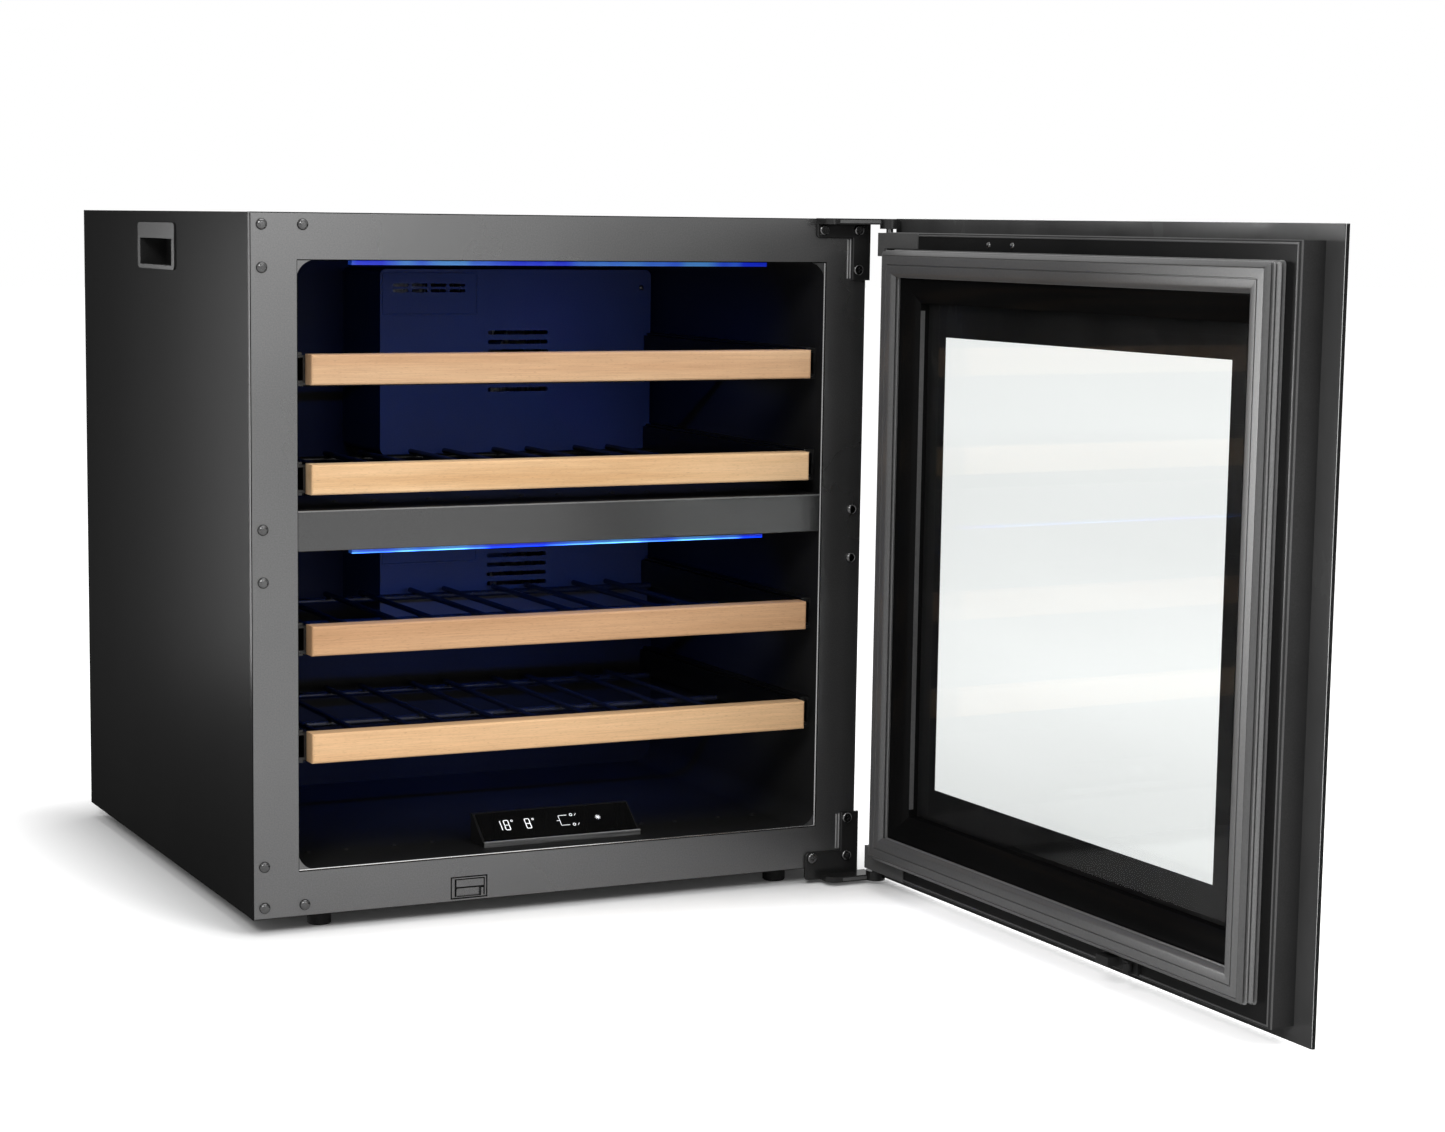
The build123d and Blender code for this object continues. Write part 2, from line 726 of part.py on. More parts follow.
with BuildPart() as hinge_pins:
    pin_tips = {"top": door_frame_top - hinge_pin_engage, "bottom": door_frame_bottom + hinge_pin_engage}
    for end in ("top", "bottom"):
        with BuildSketch(Plane.XY.offset(arm_levels[end])):
            with Locations((pivot_x, pivot_y)):
                Circle(hinge_pin_r)
        extrude(amount=pin_tips[end] - arm_levels[end])
finish(hinge_pins, "hinge_pins")

# Screws of the hinge brackets and the matching blanking plugs
bracket_face = front_y - hinge_plate_t
with BuildPart() as hinge_screws:
    with BuildSketch(front_plane(bracket_face)):
        with Locations(*hinge_fixings):
            Circle(screw_shank_r)
    extrude(amount=-screw_shank_l)
    with BuildSketch(front_plane(bracket_face)):
        with Locations(*hinge_fixings):
            Circle(screw_head_r)
    extrude(amount=screw_head_h)
    fillet(hinge_screws.edges().group_by(Axis.Y)[0], radius=screw_head_h / 2)
    head_top = front_plane(bracket_face - screw_head_h)
    with BuildSketch(head_top):
        with Locations(*hinge_fixings):
            Rectangle(screw_head_r, screw_slot_w)
            Rectangle(screw_slot_w, screw_head_r)
    extrude(amount=-screw_slot_d, mode=Mode.SUBTRACT)
finish(hinge_screws, "hinge_screws")

with BuildPart() as frame_plugs:
    with BuildSketch(front_plane(front_y)):
        with Locations(*plug_points):
            Circle(screw_shank_r)
    extrude(amount=-plug_shank_l)
    with BuildSketch(front_plane(front_y)):
        with Locations(*plug_points):
            Circle(plug_head_r)
    extrude(amount=plug_head_h)
    fillet(frame_plugs.edges().group_by(Axis.Y)[0], radius=plug_head_h * 0.9)
finish(frame_plugs, "frame_plugs")

# Push latch: a housing flush in the lower rail and the plunger that slides in its slot
latch_plane = front_plane(front_y)
with BuildPart() as latch_housing:
    with BuildSketch(latch_plane):
        with Locations((latch_x, latch_z)):
            Rectangle(latch_w, latch_h)
    extrude(amount=-latch_d)
    with BuildSketch(latch_plane):
        with Locations((latch_x, slot_z)):
            Rectangle(latch_slot_w, latch_slot_h)
    extrude(amount=-latch_slot_d, mode=Mode.SUBTRACT)
finish(latch_housing, "latch_housing")

with BuildPart() as latch_plunger:
    with BuildSketch(front_plane(front_y + latch_slot_d)):
        with Locations((latch_x, slot_z)):
            Rectangle(latch_slot_w - 2 * plunger_play, latch_slot_h - 2 * plunger_play)
    extrude(amount=plunger_l)
    fillet(latch_plunger.faces().sort_by(Axis.Y)[0].edges(), radius=1.0)
finish(latch_plunger, "latch_plunger")

# Carry handles: a flanged cup let into each side panel
with BuildPart() as carry_handles:
    for side, side_plane in ((-1, Plane.YZ.offset(-cabinet_w / 2)), (1, Plane.YZ.offset(cabinet_w / 2))):
        with BuildSketch(side_plane):
            with Locations((handle_y, handle_z)):
                RectangleRounded(handle_w, handle_h, handle_h / 8)
        extrude(amount=side * handle_t)
        with BuildSketch(side_plane):
            with Locations((handle_y, cup_z)):
                Rectangle(handle_cup_w + 2 * handle_cup_wall, handle_cup_h + 2 * handle_cup_wall)
        extrude(amount=-side * handle_cup_d)
        with BuildSketch(side_plane.offset(side * handle_t)):
            with Locations((handle_y, cup_z)):
                Rectangle(handle_cup_w, handle_cup_h)
        extrude(amount=-side * (handle_t + handle_cup_d - handle_cup_wall), mode=Mode.SUBTRACT)
finish(carry_handles, "carry_handles")

# Door: outer panel, frame, inner pane, spacer and gasket
with BuildPart() as door_glass:
    with BuildSketch(door_plane(0)):
        with Locations(door_centre):
            Rectangle(door_w, door_h)
    extrude(amount=door_glass_t)
    chamfer(door_glass.edges().filter_by(GeomType.LINE).group_by(SortBy.LENGTH)[1:], length=door_glass_edge)
finish(door_glass, "door_glass")

with BuildPart() as door_frame:
    with BuildSketch(door_plane(0)):
        with Locations(door_centre):
            Rectangle(door_frame_w, door_frame_h)
            Rectangle(lip_w, lip_h, mode=Mode.SUBTRACT)
    extrude(amount=-door_frame_depth)
    back_face = door_frame.faces().sort_by(Axis(hinge_plane.origin, door_outward))[0]
    fillet(back_face.outer_wire().edges(), radius=door_frame_edge_r)
    with BuildSketch(door_plane(door_frame_depth)):
        with Locations(door_centre):
            Rectangle(ridge_w, ridge_h)
            Rectangle(lip_w, lip_h, mode=Mode.SUBTRACT)
    extrude(amount=door_frame_depth - ridge_depth)
    with BuildSketch(door_plane(0)):
        with Locations(door_centre):
            Rectangle(pane_w + 2 * pane_gap, pane_h + 2 * pane_gap)
    extrude(amount=-pane_depth, mode=Mode.SUBTRACT)
    with BuildSketch(door_plane(ridge_depth)):
        with Locations(door_centre):
            Rectangle(ridge_w - 2 * ridge_top, ridge_h - 2 * ridge_top)
    with BuildSketch(door_plane(lip_depth)):
        with Locations(door_centre):
            Rectangle(lip_w, lip_h)
    loft(mode=Mode.SUBTRACT)
finish(door_frame, "door_frame")

with BuildPart() as inner_glass:
    with BuildSketch(door_plane(pane_depth)):
        with Locations(door_centre):
            Rectangle(pane_w, pane_h)
    extrude(amount=pane_t)
finish(inner_glass, "inner_glass")

with BuildPart() as glass_spacer:
    with BuildSketch(door_plane(pane_depth - pane_t)):
        with Locations(door_centre):
            Rectangle(pane_w, pane_h)
            Rectangle(pane_w - 2 * spacer_w, pane_h - 2 * spacer_w, mode=Mode.SUBTRACT)
    extrude(amount=pane_depth - pane_t)
finish(glass_spacer, "glass_spacer")

gasket_h = door_stand_off - door_frame_depth - gasket_closed_gap
foot_inset = (gasket_w - gasket_foot_w) / 2
with BuildPart() as door_gasket:
    with BuildSketch(door_plane(door_frame_depth)):
        with Locations(door_centre):
            Rectangle(gasket_outer_w - 2 * foot_inset, gasket_outer_h - 2 * foot_inset)
            Rectangle(gasket_inner_w + 2 * foot_inset, gasket_inner_h + 2 * foot_inset, mode=Mode.SUBTRACT)
    extrude(amount=-gasket_foot_h)
    with BuildSketch(door_plane(door_frame_depth + gasket_foot_h)):
        with Locations(door_centre):
            Rectangle(gasket_outer_w, gasket_outer_h)
            Rectangle(gasket_inner_w, gasket_inner_h, mode=Mode.SUBTRACT)
    extrude(amount=gasket_foot_h - gasket_h)
    seal_face = door_gasket.faces().sort_by(Axis(hinge_plane.origin, door_outward))[0]
    fillet(seal_face.edges(), radius=gasket_edge_r)
    groove_w = gasket_outer_w - 2 * gasket_groove_inset
    groove_h = gasket_outer_h - 2 * gasket_groove_inset
    with BuildSketch(door_plane(door_frame_depth + gasket_h)):
        with Locations(door_centre):
            Rectangle(groove_w + gasket_groove_w, groove_h + gasket_groove_w)
            Rectangle(groove_w - gasket_groove_w, groove_h - gasket_groove_w, mode=Mode.SUBTRACT)
    extrude(amount=gasket_groove_d, mode=Mode.SUBTRACT)
finish(door_gasket, "door_gasket")

# Hinge blocks on the frame's hinge stile: they turn on the pins and cap the frame's corners
frame_end = door_frame_w / 2 - pivot_x
frame_back = door_frame_depth + hinge_cap_t - (door_stand_off - hinge_forward)
with BuildPart() as hinge_blocks:
    for block_edge, to_middle in ((door_frame_top, -1), (door_frame_bottom, 1)):
        with BuildSketch(door_plan(block_edge)):
            with Locations((frame_end, frame_back)):
                Rectangle(-frame_end, frame_back + hinge_block_r, align=(Align.MIN, Align.MAX))
            Circle(hinge_block_r)
            Circle(hinge_pin_r + hinge_pin_fit, mode=Mode.SUBTRACT)
        extrude(amount=to_middle * hinge_block_h)
        with BuildSketch(door_plan(block_edge)):
            with Locations((frame_end, frame_back)):
                Rectangle(hinge_cap_l, hinge_cap_t, align=(Align.MAX, Align.MAX))
        extrude(amount=to_middle * hinge_cap_h)
finish(hinge_blocks, "hinge_blocks")

# Striker on the door's lower rail: the nose that meets the latch, and a guide roller beside it
striker_mid = latch_x - pivot_x + nose_w / 2 + striker_past_nose / 2 - striker_w / 2
roller_x = latch_x - pivot_x - roller_offset
roller_stand_off = striker_t + roller_r + roller_base_gap
roller_depth = door_frame_depth + roller_stand_off
roller_low = slot_z - roller_l / 2
ear_gap = roller_l + 2 * roller_end_gap
with BuildPart() as door_striker:
    with BuildSketch(door_plane(door_frame_depth)):
        with Locations((striker_mid, slot_z)):
            Rectangle(striker_w, striker_h)
    extrude(amount=-striker_t)
    with BuildSketch(door_plane(door_frame_depth)):
        with Locations((latch_x - pivot_x, slot_z)):
            Rectangle(nose_w, nose_h)
    extrude(amount=door_frame_depth - door_stand_off - nose_reach)
    with BuildSketch(door_plane(door_frame_depth)):
        with Locations((roller_x, slot_z - ear_gap / 2), (roller_x, slot_z + ear_gap / 2 + roller_ear_t)):
            Rectangle(2 * roller_r, roller_ear_t, align=(Align.CENTER, Align.MAX))
    extrude(amount=-(roller_stand_off + roller_pin_r + 1))
    with BuildSketch(door_plan(slot_z)):
        with Locations((roller_x, roller_depth - (door_stand_off - hinge_forward))):
            Circle(roller_pin_r)
    extrude(amount=ear_gap / 2 + roller_ear_t, both=True)
finish(door_striker, "door_striker")

with BuildPart() as striker_roller:
    with BuildSketch(door_plan(roller_low)):
        with Locations((roller_x, roller_depth - (door_stand_off - hinge_forward))):
            Circle(roller_r)
            Circle(roller_pin_r + roller_fit, mode=Mode.SUBTRACT)
    extrude(amount=roller_l)
finish(striker_roller, "striker_roller")

# Compressor on its rubber-footed plate, with the drip tray on its crown
compressor_x = cabinet_w / 2 - compressor_from_side
compressor_y = rear_y - compressor_from_rear
with BuildPart() as compressor:
    with BuildSketch(Plane.XY.offset(compartment_z)):
        with Locations((compressor_x, compressor_y)):
            with GridLocations(compressor_foot_w - 4 * compressor_grommet_r,
                               compressor_foot_d - 2 * compressor_grommet_r, 2, 2):
                Circle(compressor_grommet_r)
    extrude(amount=compressor_grommet_h)
    with BuildSketch(Plane.XY.offset(compartment_z + compressor_grommet_h)):
        with Locations((compressor_x, compressor_y)):
            RectangleRounded(compressor_foot_w, compressor_foot_d, compressor_grommet_r)
    extrude(amount=compressor_foot_t)
    with BuildSketch(Plane.XY.offset(compartment_z + compressor_grommet_h + compressor_foot_t)):
        with Locations((compressor_x, compressor_y)):
            Circle(compressor_r)
    extrude(amount=compressor_h)
    fillet(compressor.edges().group_by(Axis.Z)[-1], radius=compressor_crown_r)
finish(compressor, "compressor")

tray_z = compartment_z + compressor_grommet_h + compressor_foot_t + compressor_h
with BuildPart() as drip_tray:
    with Locations((compressor_x, compressor_y, tray_z)):
        Box(tray_l, tray_w, tray_h, align=(Align.CENTER, Align.CENTER, Align.MIN))
    tray_mouth = drip_tray.faces().sort_by(Axis.Z)[-1]
    offset(amount=-tray_wall, openings=tray_mouth)
finish(drip_tray, "drip_tray")

# Condenser block, its fan shroud and the fan
condenser_x = condenser_from_side - cabinet_w / 2
condenser_y = rear_y - condenser_from_rear
condenser_mid_z = compartment_z + condenser_h / 2
fin_count = int(condenser_l / condenser_fin_pitch)
with BuildPart() as condenser:
    with Locations((condenser_x, condenser_y, condenser_mid_z)):
        with GridLocations(condenser_fin_pitch, 0, fin_count, 1):
            Box(condenser_fin_t, condenser_w, condenser_h)
    with BuildSketch(Plane.YZ.offset(condenser_x)):
        with Locations((condenser_y, condenser_mid_z)):
            with GridLocations(condenser_w / condenser_tube_cols, condenser_h / condenser_tube_rows,
                               condenser_tube_cols, condenser_tube_rows):
                Circle(condenser_tube_r)
    extrude(amount=condenser_l / 2, both=True)
finish(condenser, "condenser")

shroud_x = condenser_x + condenser_l / 2
shroud_mouth_r = cooling_fan_r + cooling_fan_gap
with BuildPart() as condenser_shroud:
    with BuildSketch(Plane.YZ.offset(shroud_x)):
        with Locations((condenser_y, condenser_mid_z)):
            Rectangle(condenser_w, condenser_h)
            Circle(shroud_mouth_r, mode=Mode.SUBTRACT)
    extrude(amount=shroud_depth)
    with BuildSketch(Plane.YZ.offset(shroud_x + shroud_depth)):
        with Locations((condenser_y, condenser_mid_z)):
            Circle(motor_r)
            Rectangle(strut_w, condenser_h)
            Rectangle(condenser_w, strut_w)
    extrude(amount=shroud_t)
    with BuildSketch(Plane.YZ.offset(shroud_x + shroud_depth)):
        with Locations((condenser_y, condenser_mid_z)):
            Circle(fan_shaft_r)
    extrude(amount=-(fan_gap + fan_hub_l))
finish(condenser_shroud, "condenser_shroud")

cooling_hub_x = shroud_x + shroud_depth - fan_gap
with BuildPart() as condenser_fan:
    with BuildSketch(Plane.YZ.offset(cooling_hub_x)):
        with Locations((condenser_y, condenser_mid_z)):
            Circle(fan_hub_r)
    extrude(amount=-fan_hub_l)
    with Locations(Plane(origin=(cooling_hub_x - fan_hub_l / 2, condenser_y, condenser_mid_z), z_dir=(1, 0, 0))):
        with PolarLocations(0, fan_blade_count):
            with Locations(Location((0, 0, 0), (fan_blade_tilt, 0, 0))):
                Box(cooling_fan_r, fan_blade_t, fan_blade_l, align=(Align.MIN, Align.CENTER, Align.CENTER))
    with BuildSketch(Plane.YZ.offset(cooling_hub_x)):
        with Locations((condenser_y, condenser_mid_z)):
            Circle(fan_shaft_r + fan_fit)
    extrude(amount=-fan_hub_l, mode=Mode.SUBTRACT)
finish(condenser_fan, "condenser_fan")

# Control board box and the mains inlet
with BuildPart() as control_board_box:
    with Locations((board_x, rear_y - board_from_rear, compartment_z)):
        Box(board_l, board_w, board_h, align=(Align.CENTER, Align.CENTER, Align.MIN))
    fillet(control_board_box.edges().filter_by(Axis.Z), radius=board_edge_r)
finish(control_board_box, "control_board_box")

with BuildPart() as mains_inlet:
    with BuildSketch(front_plane(rear_y)):
        with Locations((inlet_x, inlet_z)):
            Rectangle(inlet_w, inlet_h)
    extrude(amount=inlet_d)
    with BuildSketch(front_plane(rear_y)):
        with Locations((inlet_x, inlet_z)):
            RectangleRounded(inlet_w + 2 * inlet_flange, inlet_h + 2 * inlet_flange, inlet_flange)
    extrude(amount=-inlet_flange)
    with BuildSketch(front_plane(rear_y + inlet_flange)):
        with Locations((inlet_x, inlet_z)):
            Rectangle(inlet_w - 2 * inlet_wall, inlet_h - 2 * inlet_wall)
    extrude(amount=inlet_d + inlet_flange - inlet_wall, mode=Mode.SUBTRACT)
    with BuildSketch(front_plane(rear_y - inlet_d + inlet_wall)):
        with Locations((inlet_x, inlet_z)):
            with GridLocations(inlet_pin_gap, 0, 3, 1):
                Rectangle(inlet_pin_w, inlet_pin_h)
    extrude(amount=-inlet_pin_l)
finish(mains_inlet, "mains_inlet")
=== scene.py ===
import json
import math

import bmesh
import bpy
from mathutils import Matrix, Vector


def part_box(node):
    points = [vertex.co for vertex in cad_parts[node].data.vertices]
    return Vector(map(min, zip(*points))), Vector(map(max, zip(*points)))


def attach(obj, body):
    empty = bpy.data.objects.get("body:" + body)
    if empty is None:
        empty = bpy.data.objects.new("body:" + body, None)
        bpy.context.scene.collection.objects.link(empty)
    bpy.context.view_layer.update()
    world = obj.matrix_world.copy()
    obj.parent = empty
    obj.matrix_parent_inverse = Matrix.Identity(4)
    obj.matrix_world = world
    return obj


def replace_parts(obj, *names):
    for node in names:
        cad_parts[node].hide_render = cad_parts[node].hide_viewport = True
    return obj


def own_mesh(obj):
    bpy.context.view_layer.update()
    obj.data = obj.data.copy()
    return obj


# Two-zone wine cooler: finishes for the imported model, and the seal, prints and small trim on it.
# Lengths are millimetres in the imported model's frame, unless a comment says otherwise.

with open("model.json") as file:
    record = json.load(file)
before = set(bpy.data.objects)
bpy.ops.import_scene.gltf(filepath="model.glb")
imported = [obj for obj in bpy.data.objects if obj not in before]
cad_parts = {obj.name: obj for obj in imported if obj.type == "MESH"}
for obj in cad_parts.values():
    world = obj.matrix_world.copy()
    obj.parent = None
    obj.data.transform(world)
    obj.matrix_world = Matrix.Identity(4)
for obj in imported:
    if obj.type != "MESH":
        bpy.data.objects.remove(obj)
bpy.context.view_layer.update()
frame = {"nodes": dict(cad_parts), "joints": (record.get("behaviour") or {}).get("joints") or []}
nodes = frame["nodes"]
MM = 0.001

# The photograph's viewpoint, in pixels, metres and radians
IMAGE_W, IMAGE_H = 1445, 1132
FOCAL_PX = 2902.74
CENTRE_PX = (649.93, 594.97)
CAMERA_AT = (-0.97125, -2.47494, 0.58200)
HEADING, PITCH, ROLL = 0.4410, -0.1288, 0.0121
SENSOR_W = 36.0

# Places read from the frame. The hinge's own position stays in metres
hinge = next(joint for joint in frame["joints"] if joint["name"] == "door_hinge")
PIVOT = Vector(hinge["pos_m"])
DOOR_OPEN = math.radians(-hinge["range_deg"][0])
DOOR_ALONG = Vector((math.cos(DOOR_OPEN), math.sin(DOOR_OPEN), 0))
DOOR_OUTWARD = Vector((math.sin(DOOR_OPEN), -math.cos(DOOR_OPEN), 0))
PANEL_FORWARD = 11.75  # from the hinge axis to the outer panel's inner face
FRONT_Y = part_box("front_frame")[0].y / MM
CABINET_LOW, CABINET_HIGH = (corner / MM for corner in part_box("front_frame"))
OPENING_HALF_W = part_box("divider_trim")[1].x / MM
OPENING_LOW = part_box("console_trim")[0].z / MM
OPENING_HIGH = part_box("lamp_bars")[1].z / MM
OPENING_Z = (OPENING_LOW + OPENING_HIGH) / 2
OPENING_HALF_H = (OPENING_HIGH - OPENING_LOW) / 2
REAR_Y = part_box("rear_panel")[1].y / MM


# Node helpers

NOISE_LOW, NOISE_HIGH = 0.3, 0.7  # most values of a noise lie between these


def put(tree, socket, value):
    """Link a socket, or set its value."""
    if isinstance(value, bpy.types.NodeSocket):
        tree.links.new(value, socket)
    else:
        socket.default_value = value


def add(tree, kind, settings=None, **inputs):
    """A node of a kind. An underscore in an input's name stands for a space."""
    node = tree.nodes.new(kind)
    for name, value in (settings or {}).items():
        setattr(node, name, value)
    for name, value in inputs.items():
        put(tree, node.inputs[name.replace("_", " ")], value)
    return node


def new_material(name, **inputs):
    """A node material: itself, its tree and its main shader with plain values set."""
    material = bpy.data.materials.new(name)
    material.use_nodes = True
    tree = material.node_tree
    shader = tree.nodes["Principled BSDF"]
    for key, value in inputs.items():
        put(tree, shader.inputs[key.replace("_", " ")], value)
    return material, tree, shader


def noise(tree, cells, detail=3.0, offset=(0, 0, 0)):
    """Noise in the part's own frame, with so many cells per metre along x, y and z."""
    coords = add(tree, "ShaderNodeTexCoord").outputs["Object"]
    mapping = add(tree, "ShaderNodeMapping", Vector=coords, Scale=cells, Location=offset)
    vector = mapping.outputs["Vector"]
    return add(tree, "ShaderNodeTexNoise", Vector=vector, Scale=1.0, Detail=detail).outputs["Fac"]


def spread(tree, value, low, high, start=NOISE_LOW, end=NOISE_HIGH):
    """The value's range from start to end, mapped to low and high."""
    limits = {"From_Min": start, "From_Max": end, "To_Min": low, "To_Max": high}
    return add(tree, "ShaderNodeMapRange", Value=value, **limits).outputs["Result"]


def ramp(tree, value, *stops):
    """A colour ramp of (position, colour) stops."""
    node = add(tree, "ShaderNodeValToRGB", Fac=value)
    elements = node.color_ramp.elements
    while len(elements) < len(stops):
        elements.new(0.5)
    for element, (position, colour) in zip(elements, stops):
        element.position = position
        element.color = (*colour, 1)
    return node.outputs["Color"]


def between(tree, value, low, high):
    """A noise turned into colours from low to high."""
    return ramp(tree, value, (NOISE_LOW, low), (NOISE_HIGH, high))


def shade(tree, colour, value):
    """A colour with its brightness multiplied."""
    return add(tree, "ShaderNodeHueSaturation", Color=colour, Value=value).outputs["Color"]


def bump(tree, shader, height, strength, distance):
    """Relief on a shader, with its depth in metres."""
    node = add(tree, "ShaderNodeBump", Height=height, Strength=strength, Distance=distance)
    for name in ("Normal", "Coat Normal"):
        put(tree, shader.inputs[name], node.outputs["Normal"])


def grey(value):
    """A neutral colour."""
    return (value, value, value)


def scaled(values, factor):
    """A colour's channels, or other values, multiplied."""
    return tuple(value * factor for value in values)


# Finishes. Pairs of factors multiply a tone or a roughness at the low and the high end of a noise

COAT_DRIFT = (5, 5, 5)
COAT_SHADES = (0.9, 1.1)
COAT_ROUGH = (0.88, 1.12)
COAT_BUMP = 0.5
BRUSH_DRIFT = (9, 9, 9)
BRUSH_TONES = (0.8, 1.1)
BRUSH_SHADES = (0.92, 1.08)
BRUSH_ROUGH = (0.8, 1.25)
BRUSH_BUMP, BRUSH_RELIEF = 0.15, 0.00004
PANE_WIPES, PANE_HAZE = (3, 3, 22), 0.99
PRINT_WIPES = (14, 14, 5)
PRINT_TONES = (0.8, 1.3)
PRINT_ROUGH = (0.6, 1.6)
WOOD_GLOSS = 0.12
WOOD_BANDS, WOOD_FIBRES, WOOD_FLECKS = (2.2, 46, 46), (26, 1300, 1300), (230, 2100, 2100)
FIBRE_SHADES = (0.9, 1.07)
FLECK_SHADES, FLECK_SPAN = (1.0, 0.8), (0.6, 0.74)
FIBRE_ROUGH = (0.38, 0.46)
FIBRE_BUMP, FIBRE_RELIEF = 0.35, 0.00012
LENS_ROUGH = 0.3
LENS_SPOTS, LENS_STOPS = (26, 1, 1), (0.4, 0.65)
LENS_GLOW, LENS_DIM = 4.0, 0.05
LENS_FACING = (-0.9, -0.1)  # the upright part of the normal, facing down and facing level
MARK_ROUGH = 0.4
MARK_CELLS = (220, 220, 220)
MARK_TONE, MARK_DIM = 0.8, 0.85


def coated(name, tone, rough, gloss, cells, relief, metallic=0.0, swing=0.25):
    """Paint, powder coat or moulded plastic: fine texture, slow drifts and some clear gloss."""
    material, tree, shader = new_material(
        name, Metallic=metallic, Specular_IOR_Level=0.0, Coat_Weight=gloss, Coat_Roughness=rough)
    drift = noise(tree, COAT_DRIFT, detail=4.0)
    fine = noise(tree, (cells, cells, cells), detail=2.0)
    tones = between(tree, drift, grey(tone * (1 - swing)), grey(tone * (1 + swing)))
    tones = shade(tree, tones, spread(tree, fine, *COAT_SHADES))
    put(tree, shader.inputs["Base Color"], tones)
    put(tree, shader.inputs["Roughness"], spread(tree, drift, *scaled(COAT_ROUGH, rough)))
    bump(tree, shader, fine, COAT_BUMP, relief)
    return material


def brushed(name, tone, rough, cells):
    """Drawn or brushed metal with fine lines along one axis."""
    material, tree, shader = new_material(name, Metallic=1.0)
    lines = noise(tree, cells)
    drift = noise(tree, BRUSH_DRIFT)
    tones = between(tree, lines, *(grey(tone * factor) for factor in BRUSH_TONES))
    tones = shade(tree, tones, spread(tree, drift, *BRUSH_SHADES))
    put(tree, shader.inputs["Base Color"], tones)
    put(tree, shader.inputs["Roughness"], spread(tree, lines, *scaled(BRUSH_ROUGH, rough)))
    bump(tree, shader, lines, BRUSH_BUMP, BRUSH_RELIEF)
    return material


def clear_glass(name, tint, index):
    """Clear sheet glass with the faintest wipe marks."""
    material, tree, shader = new_material(
        name, IOR=index, Roughness=0.0, Transmission_Weight=1.0)
    wipes = noise(tree, PANE_WIPES)
    put(tree, shader.inputs["Base Color"], between(tree, wipes, scaled(tint, PANE_HAZE), tint))
    return material


def printed_glass(name, tone, rough, gloss):
    """Black enamel seen through glass, or black glass: glossy, with faint wipe marks."""
    material, tree, shader = new_material(name, Specular_IOR_Level=gloss)
    wipes = noise(tree, PRINT_WIPES, detail=4.0)
    tones = between(tree, wipes, *(grey(tone * factor) for factor in PRINT_TONES))
    put(tree, shader.inputs["Base Color"], tones)
    put(tree, shader.inputs["Roughness"], spread(tree, wipes, *scaled(PRINT_ROUGH, rough)))
    return material


def beech(name, light, dark, streaks, offset):
    """Oiled beech cut along the grain: slow bands, fine fibres and short dark flecks."""
    material, tree, shader = new_material(name, Specular_IOR_Level=WOOD_GLOSS)
    bands = noise(tree, WOOD_BANDS, detail=5.0, offset=offset)
    fibres = noise(tree, WOOD_FIBRES, detail=3.0, offset=offset)
    flecks = noise(tree, WOOD_FLECKS, detail=1.0, offset=offset)
    middle = tuple((a + b) / 2 for a, b in zip(light, dark))
    tones = ramp(tree, bands, (0.5 - streaks, light), (0.5, middle), (0.5 + streaks, dark))
    tones = shade(tree, tones, spread(tree, fibres, *FIBRE_SHADES))
    tones = shade(tree, tones, spread(tree, flecks, *FLECK_SHADES, *FLECK_SPAN))
    put(tree, shader.inputs["Base Color"], tones)
    put(tree, shader.inputs["Roughness"], spread(tree, fibres, *FIBRE_ROUGH))
    bump(tree, shader, fibres, FIBRE_BUMP, FIBRE_RELIEF)
    return material


def lamp_lens(name, deep, bright):
    """A light strip that glows downwards, brighter in places along its length."""
    material, tree, shader = new_material(name, Roughness=LENS_ROUGH)
    facing = add(tree, "ShaderNodeNewGeometry").outputs["Normal"]
    level = add(tree, "ShaderNodeSeparateXYZ", Vector=facing).outputs["Z"]
    spots = noise(tree, LENS_SPOTS, detail=1.0)
    glow = ramp(tree, spots, *zip(LENS_STOPS, (deep, bright)))
    put(tree, shader.inputs["Base Color"], glow)
    put(tree, shader.inputs["Emission Color"], glow)
    strength = spread(tree, level, LENS_GLOW, LENS_DIM, *LENS_FACING)
    put(tree, shader.inputs["Emission Strength"], strength)
    return material


def lit_print(name, colour, strength):
    """Back-lit marks on the console, a little uneven as such marks are."""
    material, tree, shader = new_material(name, Roughness=MARK_ROUGH)
    uneven = noise(tree, MARK_CELLS, detail=2.0)
    tones = between(tree, uneven, scaled(colour, MARK_TONE), colour)
    put(tree, shader.inputs["Base Color"], tones)
    put(tree, shader.inputs["Emission Color"], tones)
    level = spread(tree, uneven, strength * MARK_DIM, strength)
    put(tree, shader.inputs["Emission Strength"], level)
    return material


# Coated: tone, roughness, share of gloss, cells of texture per metre, relief in metres
FRAME_COAT = coated("graphite_front", 0.15, 0.29, 0.0, 900, 0.00003, metallic=0.9, swing=0.05)
SIDE_COAT = coated("black_sheet", 0.0085, 0.3, 0.024, 1100, 0.00005, swing=0.1)
REAR_COAT = coated("black_rear", 0.03, 0.5, 0.3, 1100, 0.00005)
LINER = coated("liner_moulding", 0.011, 0.4, 0.2, 700, 0.00006)
TRIM = coated("divider_bar", 0.093, 0.22, 0.0, 900, 0.00003, metallic=0.9, swing=0.05)
# A lighter copy of the divider bar's finish for the line along its top edge: a painted highlight
DIVIDER_HIGHLIGHT = coated("painted_divider_highlight", 0.2, 0.3, 0.0, 900, 0.00002, metallic=0.9, swing=0.05)
COVER = coated("cover_moulding", 0.04, 0.4, 0.4, 800, 0.00006)
BLACK_PLASTIC = coated("black_moulding", 0.012, 0.35, 0.5, 800, 0.00005)
DOOR_PLASTIC = coated("door_moulding", 0.026, 0.28, 0.12, 900, 0.00002)
